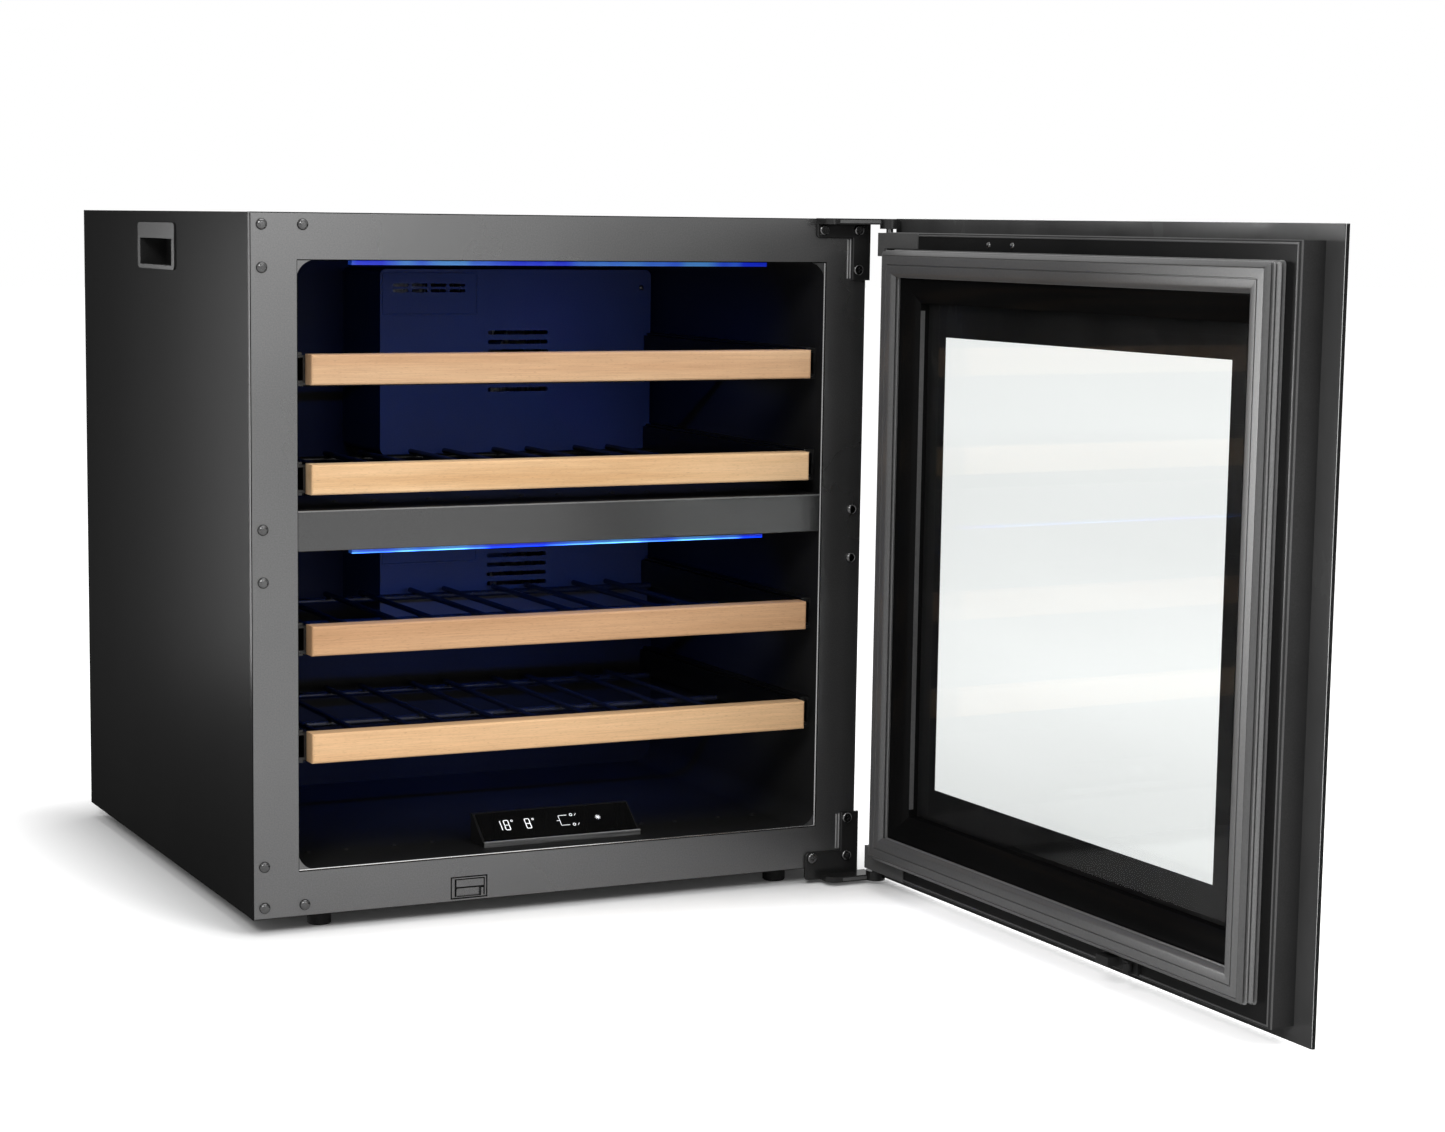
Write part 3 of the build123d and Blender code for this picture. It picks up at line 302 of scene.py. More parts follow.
# Near-black: painted shade on the door's reveal slope, in the seal's grooves and over the front
# frame's outer edge, and the colour of the dark joints round the latch and the opening
SHADE_AND_JOINT_BLACK = coated("door_reveal", 0.004, 0.2, 0.06, 900, 0.00001)
# A darker copy of the door moulding for its back face beside the seal: painted shade
FRAME_FACE_SHADE = coated("door_back_painted_shade", 0.012, 0.25, 0.1, 900, 0.00001)
# A pale grey for painted highlights: the door frame's beads, the bead on the pane's hinge side and
# the bands on the hinge arms
PAINTED_HIGHLIGHT = coated("painted_highlight_grey", 0.085, 0.3, 0.4, 900, 0.00002)
RUBBER = coated("foot_rubber", 0.014, 0.75, 0.3, 600, 0.0001)
SEAL = coated("seal_rubber", 0.065, 0.4, 1.0, 500, 0.00003, swing=0.12)
# A paler copy of the seal rubber for the lips of its folds: a painted highlight
LIP_HIGHLIGHT = coated("painted_lip_highlight", 0.16, 0.3, 1.0, 500, 0.00002, swing=0.12)
HINGE_STEEL = coated("hinge_coat", 0.012, 0.22, 0.6, 1200, 0.00002)
# A pale finish for the lines beside the hinge legs: painted highlights
LEG_HIGHLIGHT = coated("painted_leg_highlight", 0.25, 0.3, 0.5, 1200, 0.00002)
HINGE_BLOCK = coated("hinge_block", 0.08, 0.3, 0.3, 900, 0.00002)
HINGE_SCREW = coated("hinge_screw", 0.13, 0.14, 0.0, 600, 0.00001, metallic=1.0)
# Pale metal for the lines along the opening's edges: painted highlights
MOUTH_HIGHLIGHT = coated("painted_mouth_highlight", 0.28, 0.2, 0.0, 600, 0.00001, metallic=1.0)
PLUG = coated("plug_gloss", 0.1, 0.1, 0.0, 400, 0.00001, metallic=1.0)
HANDLE = coated("handle_moulding", 0.02, 0.4, 0.1, 800, 0.00005)
RACK = coated("rack_wire", 0.012, 0.25, 0.8, 900, 0.00002)
COMPRESSOR = coated("compressor_paint", 0.012, 0.3, 0.8, 300, 0.00005)

# Brushed: tone, roughness, cells of its lines per metre
SCREW = brushed("screw_steel", 0.16, 0.3, (600, 600, 600))
RUNNER = brushed("runner_steel", 0.05, 0.4, (300, 12, 300))
ALUMINIUM = brushed("fin_aluminium", 0.6, 0.3, (900, 900, 30))
BRIGHT = brushed("bright_strip", 0.3, 0.35, (14, 700, 700))

# Prints: tone, roughness, gloss. Glass: tint, refractive index
CONSOLE_GLASS = printed_glass("console_glass", 0.004, 0.05, 0.3)
INNER_PRINT = printed_glass("inner_print", 0.011, 0.2, 0.03)
OUTER_PRINT = printed_glass("outer_print", 0.003, 0.3, 0.0)
MARGIN_PRINT = printed_glass("margin_print", 0.05, 0.2, 0.06)
OUTER_GLASS = clear_glass("outer_glass", (0.925, 0.94, 0.935), 1.25)
INNER_GLASS = clear_glass("inner_glass", (0.955, 0.968, 0.962), 1.18)

# Lights: their colours, and the strength of the figures
LAMP = lamp_lens("blue_lamp", (0.0, 0.03, 1.0), (0.1, 0.4, 1.0))
DIGITS = lit_print("white_digits", (0.95, 0.97, 1.0), 0.7)

# Boards: light colour, dark colour, half the span of the bands, place in the grain
BOARDS = (
    ((0.60, 0.405, 0.245), (0.47, 0.275, 0.150), 0.24, (3.1, 0.0, 0.0)),
    ((0.78, 0.550, 0.330), (0.56, 0.340, 0.170), 0.15, (7.4, 1.7, 0.6)),
    ((0.56, 0.340, 0.190), (0.43, 0.240, 0.122), 0.24, (11.9, 3.3, 1.4)),
    ((0.70, 0.465, 0.262), (0.59, 0.355, 0.185), 0.28, (17.2, 5.1, 2.2)),
)

FINISHES = {
    FRAME_COAT: ["front_frame", "latch_housing"],
    SIDE_COAT: ["side_panel_left", "side_panel_right", "top_panel", "base_pan"],
    REAR_COAT: ["rear_panel", "rear_grille"],
    LINER: ["liner", "divider_panel"],
    TRIM: ["divider_trim"],
    COVER: ["evaporator_cover_upper", "evaporator_cover_lower"],
    BLACK_PLASTIC: [
        "control_console", "condenser_shroud", "condenser_fan", "control_board_box",
        "mains_inlet", "evaporator_fan_upper", "evaporator_fan_lower", "fan_motors",
        "drip_tray", "latch_plunger",
    ],
    DOOR_PLASTIC: ["door_frame", "glass_spacer", "door_striker", "striker_roller"],
    RUBBER: ["feet"],
    HANDLE: ["carry_handles"],
    HINGE_STEEL: ["hinge_bracket_top", "hinge_bracket_bottom"],
    HINGE_BLOCK: ["hinge_blocks"],
    HINGE_SCREW: ["hinge_screws"],
    PLUG: ["frame_plugs"],
    SCREW: ["hinge_pins"],
    RUNNER: ["runner_rails", "shelf_bars_1", "shelf_bars_2", "shelf_bars_3", "shelf_bars_4"],
    RACK: ["shelf_rack_1", "shelf_rack_2", "shelf_rack_3", "shelf_rack_4"],
    ALUMINIUM: ["evaporator_upper", "evaporator_lower", "condenser"],
    BRIGHT: ["console_trim"],
    COMPRESSOR: ["compressor"],
    CONSOLE_GLASS: ["control_glass"],
    OUTER_GLASS: ["door_glass"],
    INNER_GLASS: ["inner_glass"],
    LAMP: ["lamp_bars"],
}


def paint(name, material):
    """Give a node of the frame its finish."""
    slots = nodes[name].data.materials
    slots.clear()
    slots.append(material)


for finish_material, names in FINISHES.items():
    for node_name in names:
        paint(node_name, finish_material)
for number, board in enumerate(BOARDS, start=1):
    paint(f"shelf_front_{number}", beech(f"beech_{number}", *board))


# Mesh helpers. A place function turns (x, z, depth) into a point in metres

MIN_BEND = 0.4
BEND_STEPS = 5
DOME_STEPS, DOME_RINGS = 16, 4
CREASE_DEG = 35.0


def door_at(x, z, depth):
    """A point of the open door: from its middle, and behind the outer panel's inner face."""
    along = DOOR_ALONG * (x * MM - PIVOT.x)
    point = PIVOT + along + DOOR_OUTWARD * ((PANEL_FORWARD - depth) * MM)
    return Vector((point.x, point.y, PIVOT.z + z * MM))


def front_at(x, z, depth):
    """A point behind the cabinet's front face, from the opening's middle."""
    return Vector((x, FRONT_Y + depth, OPENING_Z + z)) * MM


def rounded(half_w, half_h, radius):
    """A rectangle's outline about the origin as (x, z) pairs, square where the radius is 0."""
    corners = ((1, 1), (-1, 1), (-1, -1), (1, -1))
    if radius == 0:
        return [(sx * half_w, sz * half_h) for sx, sz in corners]
    points = []
    for quarter, (sx, sz) in enumerate(corners):
        for step in range(BEND_STEPS + 1):
            turn = math.pi / 2 * (quarter + step / BEND_STEPS)
            x = sx * (half_w - radius) + radius * math.cos(turn)
            points.append((x, sz * (half_h - radius) + radius * math.sin(turn)))
    return points


def sweep(sections, place):
    """A ring through (half width, half height, corner radius, depth) sections, closed on itself."""
    points, faces = [], []
    for half_w, half_h, radius, depth in sections:
        loop = rounded(half_w, half_h, radius)
        points += [place(x, z, depth) for x, z in loop]
    count = len(loop)
    for index in range(len(sections)):
        a, b = count * index, count * ((index + 1) % len(sections))
        for k in range(count):
            after = (k + 1) % count
            faces.append((a + k, a + after, b + after, b + k))
    return points, faces


def ring(half_w, half_h, profile, place, radius=0.0):
    """A closed profile of (inset, depth) pairs swept round a rectangle, which may have a radius."""
    sections = []
    for inset, depth in profile:
        bend = max(radius - inset, MIN_BEND) if radius else 0
        sections.append((half_w - inset, half_h - inset, bend, depth))
    return sweep(sections, place)


def plate(outline, place, near, far):
    """A flat outline of (x, z) pairs given thickness between two depths."""
    count = len(outline)
    points = [place(x, z, depth) for depth in (near, far) for x, z in outline]
    faces = [tuple(range(count)), tuple(range(2 * count - 1, count - 1, -1))]
    for k in range(count):
        after = (k + 1) % count
        faces.append((k, after, count + after, count + k))
    return points, faces


def strip(place, left, right, low, high, near, far):
    """A flat upright strip between two depths."""
    return plate([(left, low), (right, low), (right, high), (left, high)], place, near, far)


def dome(place, x, z, radius, height, base=0.0):
    """A low round head: its rim lies at a depth, and its crown is deeper by its height."""
    points = [place(x, z, base + height)]
    for index in range(1, DOME_RINGS + 1):
        tilt = math.pi / 2 * index / DOME_RINGS
        for step in range(DOME_STEPS):
            turn = 2 * math.pi * step / DOME_STEPS
            reach = radius * math.sin(tilt)
            across, up = x + reach * math.cos(turn), z + reach * math.sin(turn)
            points.append(place(across, up, base + height * math.cos(tilt)))
    faces = [(0, 1 + step, 1 + (step + 1) % DOME_STEPS) for step in range(DOME_STEPS)]
    for index in range(DOME_RINGS - 1):
        a, b = 1 + index * DOME_STEPS, 1 + (index + 1) * DOME_STEPS
        for k in range(DOME_STEPS):
            after = (k + 1) % DOME_STEPS
            faces.append((a + k, b + k, b + after, a + after))
    faces.append(tuple(range(1 + (DOME_RINGS - 1) * DOME_STEPS, 1 + DOME_RINGS * DOME_STEPS)))
    return points, faces


def joined(shapes):
    """Several (points, faces) shapes as one."""
    points, faces = [], []
    for shape_points, shape_faces in shapes:
        start = len(points)
        points += shape_points
        faces += [tuple(start + index for index in face) for face in shape_faces]
    return points, faces


def piece(name, shape, material, body):
    """A mesh piece that rides on a body, smooth except at creases."""
    mesh = bpy.data.meshes.new(name)
    points, faces = shape
    mesh.from_pydata(points, [], faces)
    work = bmesh.new()
    work.from_mesh(mesh)
    bmesh.ops.recalc_face_normals(work, faces=work.faces)
    work.to_mesh(mesh)
    work.free()
    mesh.materials.append(material)
    mesh.shade_smooth()
    mesh.set_sharp_from_angle(angle=math.radians(CREASE_DEG))
    obj = bpy.data.objects.new(name, mesh)
    bpy.context.scene.collection.objects.link(obj)
    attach(obj, body)
    return obj


# Door seal: a head with a grooved face, a dark core and the lips of its folds, as (inset, depth)
# profiles.

SEAL_HALF = (262.7, 264.3)
SEAL_CORNER_R = 2.5
SEAL_BASE, SEAL_FACE, SEAL_CLOSED = 22.3, 37.2, 32.1
SEAL_HEAD = (
    (5.6, 33.2), (2.6, 33.4), (1.2, 33.9), (1.0, 34.4), (2.2, 35.7), (3.4, 36.7), (4.2, 37.1),
    (4.7, 36.6), (5.2, 37.1), (8.5, 37.2), (11.8, 37.2), (12.1, 36.4), (12.7, 36.4), (13.0, 37.2),
    (18.5, 37.2), (19.6, 36.8), (21.3, 35.4), (22.6, 33.9), (22.6, 33.4), (21.6, 33.2),
    (18.9, 33.2),
)
# The core is painted shade: near-black rubber that darkens the grooves between the seal's folds
SEAL_CORE = ((5.5, 22.3), (5.5, 33.3), (19.0, 33.3), (19.0, 22.3))
# The lips of the folds take the paler rubber, which is a painted highlight
SEAL_LIPS = (
    ((5.6, 30.3), (0.7, 30.3), (0.2, 30.7), (0.2, 31.5), (0.7, 31.9), (5.6, 31.9)),
    ((5.6, 25.1), (0.5, 25.1), (0.2, 25.4), (0.2, 26.0), (1.6, 28.3), (5.6, 28.6)),
    ((5.6, 22.3), (-0.6, 22.3), (-0.6, 22.9), (5.6, 23.0)),
    ((18.9, 30.3), (18.9, 31.0), (22.6, 31.0), (23.0, 30.7), (22.6, 30.3)),
    ((18.9, 28.4), (18.9, 29.1), (22.6, 29.1), (23.0, 28.8), (22.6, 28.4)),
)


def seal_piece(name, profiles, material):
    """A part of the seal, riding on the door."""
    rings = [ring(*SEAL_HALF, profile, door_at, SEAL_CORNER_R) for profile in profiles]
    part = piece(name, joined(rings), material, "door")
    door_at(0, 0, SEAL_BASE)
    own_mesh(part)
    return part


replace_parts(seal_piece("door_seal", [SEAL_HEAD], SEAL), "door_gasket")
# The near-black core between the folds: painted shade in the seal's grooves
seal_piece("seal_core_shade", [SEAL_CORE], SHADE_AND_JOINT_BLACK)
# The pale lips of the folds: painted highlights
seal_piece("seal_lips", SEAL_LIPS, LIP_HIGHLIGHT)

# Two fine beads round the back corner of the door's frame, in a pale grey that is a painted
# highlight

FRAME_HALF = (277.5, 278.6)
BACK_BEAD = ((1.1, 22.3), (1.4, 22.9), (2.2, 22.9), (2.5, 22.3))
SIDE_BEAD = ((0.0, 19.4), (-0.6, 19.8), (-0.6, 20.8), (0.0, 21.2))
beads = [ring(*FRAME_HALF, profile, door_at) for profile in (BACK_BEAD, SIDE_BEAD)]
piece("door_beads", joined(beads), PAINTED_HIGHLIGHT, "door")

# Inside the door's ridge: the glossy slope to the pane in near-black that is painted shade, darker
# than the rest of the door moulding, and the pale bead on its hinge side, a painted highlight

REVEAL_SECTIONS = (
    (238.6, 241.1, 0, 30.0), (238.2, 240.7, 0, 30.25), (237.2, 239.6, 0, 30.2),
    (220.8, 220.3, 0, 20.2), (220.8, 220.3, 0, 12.1), (221.2, 220.7, 0, 12.1),
    (221.2, 220.7, 0, 19.9), (237.3, 239.8, 0, 29.85),
)
piece("door_reveal", sweep(REVEAL_SECTIONS, door_at), SHADE_AND_JOINT_BLACK, "door")

PANE_BEAD = (220.3, 221.0, -214.0, 214.0, 16.2, 20.2)  # left, right, low, high, near, far
piece("pane_bead", strip(door_at, *PANE_BEAD), PAINTED_HIGHLIGHT, "door")

# The back face of the door's frame beside the seal, darker than the rest of the door moulding as
# painted shade, and two screws in its top rail

FACE_PROFILE = ((2.7, 22.3), (2.7, 22.45), (15.2, 22.45), (15.2, 22.3))
piece("frame_face_shade", ring(*FRAME_HALF, FACE_PROFILE, door_at), FRAME_FACE_SHADE, "door")

RAIL_SCREWS = ((115.6, 270.0), (80.9, 270.0))
RAIL_SCREW_SIZE = (3.0, 1.4)  # radius and height
rail_heads = [dome(door_at, x, z, *RAIL_SCREW_SIZE, SEAL_BASE) for x, z in RAIL_SCREWS]
piece("rail_screws", joined(rail_heads), PLUG, "door")

# Black printed borders inside the two sheets of glass, and the print on the outer panel's margin

PANEL_HALF = (297.5, 291.0)
PANE_HALF = (229.0, 228.5)
INNER_WINDOW = (193.3, 192.6)
OUTER_WINDOW = (213.0, 200.0)
MARGIN_GAP = 0.1
MARGIN_WINDOW = (FRAME_HALF[0] + MARGIN_GAP, FRAME_HALF[1] + MARGIN_GAP)
PANEL_EDGE_GAP, PANE_EDGE_GAP = 0.3, 0.6
OUTER_PRINT_DEPTH, INNER_PRINT_DEPTH, MARGIN_DEPTH = -0.4, 11.6, 0.0
PRINT_T = 0.2


def printed_border(name, half, edge_gap, window, depth, material):
    """A thin printed frame from near a sheet's edge to the window."""
    outer = (half[0] - edge_gap, half[1] - edge_gap)
    back = depth + PRINT_T
    sections = [(*outer, 0, depth), (*outer, 0, back), (*window, 0, back), (*window, 0, depth)]
    piece(name, sweep(sections, door_at), material, "door")


printed_border(
    "outer_print", PANEL_HALF, PANEL_EDGE_GAP, OUTER_WINDOW, OUTER_PRINT_DEPTH, OUTER_PRINT)
printed_border(
    "inner_print", PANE_HALF, PANE_EDGE_GAP, INNER_WINDOW, INNER_PRINT_DEPTH, INNER_PRINT)
printed_border(
    "panel_margin", PANEL_HALF, PANEL_EDGE_GAP, MARGIN_WINDOW, MARGIN_DEPTH, MARGIN_PRINT)

# Cabinet mouth: the liner's rounded corner fills, the dark lip, and pale lines along the opening's
# right and lower edges, which are painted highlights

FILL_R = 17.0
FILL_STEPS = 8
FILL_GAP = 0.1
FILL_DEPTHS = (2.2, 3.0)


def mouth_corner(side, end):
    """The fill between the frame's square corner and the liner's rounded one."""
    x, z = side * (OPENING_HALF_W - FILL_GAP), end * (OPENING_HALF_H - FILL_GAP)
    centre_x, centre_z = x - side * FILL_R, z - end * FILL_R
    outline = [(x, z)]
    for step in range(FILL_STEPS, -1, -1):
        turn = math.pi / 2 * step / FILL_STEPS
        arc_x = centre_x + side * FILL_R * math.cos(turn)
        outline.append((arc_x, centre_z + end * FILL_R * math.sin(turn)))
    return plate(outline, front_at, *FILL_DEPTHS)


corner_fills = [mouth_corner(side, end) for side in (-1, 1) for end in (-1, 1)]
piece("mouth_corners", joined(corner_fills), FRAME_COAT, "cabinet")

LIP_PROFILE = ((0.0, 0.3), (0.6, 0.6), (0.8, 1.9), (0.0, 1.9))
lip = ring(OPENING_HALF_W, OPENING_HALF_H, LIP_PROFILE, front_at)
piece("mouth_lip", lip, SHADE_AND_JOINT_BLACK, "cabinet")

# The pale lines are painted highlights on the right and lower edges of the opening
LINE_OUTLINE = ((0.1, 0.0), (0.5, 0.1), (1.8, 1.4), (1.8, 0.0))
LINE_END = 1.0


def right_edge_at(depth, inset, along):
    """A point at the opening's right edge: behind the front face, in from the edge, along it."""
    return front_at(OPENING_HALF_W - inset, along, depth)


def low_edge_at(depth, inset, along):
    """A point at the opening's lower edge: behind the front face, in from the edge, along it."""
    return front_at(along, inset - OPENING_HALF_H, depth)


edge_lines = [
    plate(LINE_OUTLINE, right_edge_at, LINE_END - OPENING_HALF_H, OPENING_HALF_H - LINE_END),
    plate(LINE_OUTLINE, low_edge_at, LINE_END - OPENING_HALF_W, OPENING_HALF_W - LINE_END),
]
piece("mouth_highlight_lines", joined(edge_lines), MOUTH_HIGHLIGHT, "cabinet")

# A near-black band round the front frame's outer edge, where it meets the panels behind it: a dark
# joint, and painted shade over the frame's rounded edge

JOINT_PROFILE = (
    (0.9, 0.0), (0.3, 0.05), (-0.1, 0.5), (-0.15, 1.0),
    (-0.15, 6.0), (0.02, 6.2), (0.02, 1.2), (0.5, 0.6),
)
cabinet_half_w = CABINET_HIGH.x
cabinet_half_h = (CABINET_HIGH.z - CABINET_LOW.z) / 2
joint_band = ring(cabinet_half_w, cabinet_half_h, JOINT_PROFILE, front_at)
piece("frame_joint_shade", joint_band, SHADE_AND_JOINT_BLACK, "cabinet")

# A fine pale line along the top edge of the bar between the zones: a painted highlight

TRIM_LINE = ((-0.2, -1.1), (-0.2, -0.3), (0.2, 0.05), (0.6, 0.05), (0.0, -1.1))
TRIM_END = 0.3
trim_low, trim_high = (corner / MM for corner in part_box("divider_trim"))


def trim_at(depth, up, along):
    """A point at the divider bar's top front edge: behind its face, above its top, along it."""
    return Vector((along, trim_low.y + depth, trim_high.z + up)) * MM


divider_highlight_line = plate(TRIM_LINE, trim_at, trim_low.x + TRIM_END, trim_high.x - TRIM_END)
piece("divider_highlight_line", divider_highlight_line, DIVIDER_HIGHLIGHT, "cabinet")

# Latch: dark outlines on its plate, a flap above the slot, and a cap on the plunger that stays
# behind the striker's reach. Strips are left, right, low, high, near and far

latch_low, latch_high = (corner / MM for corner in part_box("latch_housing"))
LATCH_MID = ((latch_low.x + latch_high.x) / 2, (latch_low.z + latch_high.z) / 2)
LATCH_HALF = ((latch_high.x - latch_low.x) / 2, (latch_high.z - latch_low.z) / 2)
OUTLINE_PROFILE = ((-0.5, -0.06), (0.6, -0.06), (0.6, 0.02), (-0.5, 0.02))
LATCH_LINES = (
    (-12.8, -11.4, -7.5, 7.5, -0.34, 0.0),
    (-11.4, 14.0, 6.6, 7.4, -0.34, 0.0),
    (13.0, 14.0, -7.5, 6.6, -0.34, 0.0),
    (-11.4, -11.0, -1.3, 0.7, -0.1, 0.0),
    (11.0, 13.0, -1.3, 0.7, -0.1, 0.0),
)
LATCH_FLAP = (-11.4, 13.0, 0.7, 6.6, -0.3, 0.0)
PLUNGER_CAP = (-10.6, 10.6, -7.7, -1.3, 2.8, 8.6)


def latch_at(x, z, depth):
    """A point behind the front face, from the latch plate's middle."""
    return Vector((LATCH_MID[0] + x, FRONT_Y + depth, LATCH_MID[1] + z)) * MM


outlines = [ring(*LATCH_HALF, OUTLINE_PROFILE, latch_at)]
outlines += [strip(latch_at, *line) for line in LATCH_LINES]
flap, cap = strip(latch_at, *LATCH_FLAP), strip(latch_at, *PLUNGER_CAP)
piece("latch_outlines", joined(outlines), SHADE_AND_JOINT_BLACK, "cabinet")
piece("latch_flap", flap, FRAME_COAT, "cabinet")
piece("latch_lower_flap", cap, FRAME_COAT, "latch_plunger")

# Hinges: two fine pale lines beside each upright leg and a lighter band along each arm's front,
# which are painted highlights

LEG_W = 14.5
LEG_LEFT = CABINET_HIGH.x - LEG_W
LEG_LINES = ((4.2, 3.0), (1.6, 0.4))  # left and right edge, both to the left of the leg
LEG_SPANS = ((533.0, 566.5), (30.0, 61.0))  # low and high
LEG_LINE_T = 0.3
ARM_FRONT = PIVOT.y / MM - FRONT_Y
ARM_BANDS = ((240.0, 280.0, 580.6, 583.4), (256.0, 280.0, 4.6, 7.4))  # left, right, low, high
ARM_BAND_T = 0.25


def face_at(x, z, depth):
    """A point behind the cabinet's front face, with z from the floor."""
    return Vector((x, FRONT_Y + depth, z)) * MM


leg_highlight_lines = []
for left, right in LEG_LINES:
    for span in LEG_SPANS:
        leg_highlight_lines.append(strip(face_at, LEG_LEFT - left, LEG_LEFT - right, *span, -LEG_LINE_T, 0.0))
arm_highlight_bands = [strip(face_at, *band, ARM_FRONT - ARM_BAND_T, ARM_FRONT) for band in ARM_BANDS]
piece("leg_highlight_lines", joined(leg_highlight_lines), LEG_HIGHLIGHT, "cabinet")
piece("arm_highlight_bands", joined(arm_highlight_bands), PAINTED_HIGHLIGHT, "cabinet")

# Evaporator covers: a raised border round the louvres and a corner screw on each

BORDER_HALF = (48.0, 20.0)
BORDER_LEFT, BORDER_TOP = 2, 3
BORDER_PROFILE = ((0.0, 0.0), (0.3, -0.8), (1.3, -0.8), (1.6, 0.0))
COVER_SCREW_IN, COVER_SCREW_UP = 12, 6
COVER_SCREW_SIZE = (2.6, -1.2)  # its crown faces the front


def cover_place(low, high):
    """The place function of a cover: from the middle of its louvre border, behind its face."""
    middle_x = low.x + BORDER_HALF[0] + BORDER_LEFT
    middle_z = high.z - BORDER_HALF[1] - BORDER_TOP

    def place(x, z, depth):
        return Vector((middle_x + x, low.y + depth, middle_z + z)) * MM

    return place


borders, cover_heads = [], []
for cover in ("evaporator_cover_upper", "evaporator_cover_lower"):
    cover_low, cover_high = (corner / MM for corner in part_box(cover))
    cover_at = cover_place(cover_low, cover_high)
    screw_x = cover_high.x - cover_low.x - BORDER_HALF[0] - COVER_SCREW_IN
    borders.append(ring(*BORDER_HALF, BORDER_PROFILE, cover_at))
    cover_heads.append(dome(cover_at, screw_x, COVER_SCREW_UP, *COVER_SCREW_SIZE))
piece("louvre_borders", joined(borders), COVER, "cabinet")
piece("cover_screws", joined(cover_heads), SCREW, "cabinet")

# Rear: rows of screws along the upper and lower edges of the two rear sheets

REAR_SHARES = (-0.97, -0.48, 0.0, 0.48, 0.97)  # of half the width
PANEL_INSET, GRILLE_INSET = 8, 6
REAR_SCREW_SIZE = (3.4, 1.6)
rear_low, rear_high = (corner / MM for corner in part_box("rear_panel"))
grille_low, grille_high = (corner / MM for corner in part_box("rear_grille"))
screw_rows = (
    rear_high.z - PANEL_INSET, rear_low.z + PANEL_INSET,
    grille_high.z - GRILLE_INSET, grille_low.z + GRILLE_INSET,
)


def rear_at(x, z, depth):
    """A point behind the rear face."""
    return Vector((x, REAR_Y + depth, z)) * MM


rear_heads = []
for share in REAR_SHARES:
    for row in screw_rows:
        rear_heads.append(dome(rear_at, rear_high.x * share, row, *REAR_SCREW_SIZE))
piece("rear_screws", joined(rear_heads), SCREW, "cabinet")

# Console display: two temperatures in seven-segment figures and a few plain marks

CONSOLE_STEP = 3.0
GLASS_T = 1.4
MARK_T = 0.15
console_low, console_high = (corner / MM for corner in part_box("control_console"))
SLOPE_LOW = Vector((console_low.y, console_low.z + CONSOLE_STEP))
SLOPE_HIGH = Vector((console_high.y - CONSOLE_STEP, console_high.z))
SLOPE_ALONG = (SLOPE_HIGH - SLOPE_LOW).normalized()
SLOPE_OUT = Vector((-SLOPE_ALONG.y, SLOPE_ALONG.x))

SEGMENTS = {
    "a": ((0, 2), (1, 2)), "b": ((1, 2), (1, 1)), "c": ((1, 1), (1, 0)), "d": ((0, 0), (1, 0)),
    "e": ((0, 1), (0, 0)), "f": ((0, 2), (0, 1)), "g": ((0, 1), (1, 1)),
}
FIGURES = {"1": "bc", "8": "abcdefg"}
FIGURE_W, FIGURE_H = 4.2, 10.5
FIGURE_UP = 12.0
FIGURE_STROKE, MARK_STROKE = 0.75, 0.42
TEMPERATURES = (("18", (17.0, 24.5), 32.2), ("8", (44.0,), 51.8))  # figures, their x, sign's x
SIGN_RISE = 9.6
SIGN_SIZE, DOT_SIZE = (1.1, 0.45), (1.5, 0.5)  # radius and width of the line
SIGN_STEPS = 12
BRACKET_X, BRACKET_UP, BRACKET_H = 76.0, 12.0, 11.0
BRACKET_ARM, BRACKET_TICK = 8, 3
DOT_X, DASH_X, DASH_HALF = 12, (15, 17), 1.2  # from the bracket
STAR_X, STAR_UP, STAR_R, STAR_LINES = 112, 18, 2.6, 4


def console_at(x, up, height):
    """A point of the console's glass: from its left end, up its slope, and above its face."""
    flat = SLOPE_LOW + SLOPE_ALONG * up + SLOPE_OUT * (GLASS_T + height)
    return Vector((console_low.x + x, flat.x, flat.y)) * MM


def stroke(x0, up0, x1, up1, width):
    """A straight mark with pointed ends."""
    start, end = Vector((x0, up0)), Vector((x1, up1))
    along = (end - start).normalized() * width / 2
    across = Vector((-along.y, along.x))
    near_end, far_end = start + along, end - along
    outline = [start, near_end + across, far_end + across, end, far_end - across, near_end - across]
    return plate([tuple(point) for point in outline], console_at, 0.0, MARK_T)


def figure(character, x):
    """One seven-segment figure with its lower left corner at x."""
    shapes = []
    for name in FIGURES[character]:
        ends = []
        for column, row in SEGMENTS[name]:
            ends += [x + column * FIGURE_W, FIGURE_UP + row * FIGURE_H / 2]
        shapes.append(stroke(*ends, FIGURE_STROKE))
    return joined(shapes)


def small_ring(x, up, radius, width):
    """A small ring such as a degree sign."""
    shapes = []
    for step in range(SIGN_STEPS):
        t0, t1 = (2 * math.pi * k / SIGN_STEPS for k in (step, step + 1))
        inner = radius - width
        corners = ((radius, t0), (radius, t1), (inner, t1), (inner, t0))
        outline = [(x + r * math.cos(t), up + r * math.sin(t)) for r, t in corners]
        shapes.append(plate(outline, console_at, 0.0, MARK_T))
    return joined(shapes)


marks = []
for characters, places, sign_x in TEMPERATURES:
    marks += [figure(character, x) for character, x in zip(characters, places)]
    marks.append(small_ring(sign_x, FIGURE_UP + SIGN_RISE, *SIGN_SIZE))
piece("console_figures", joined(marks), DIGITS, "cabinet")

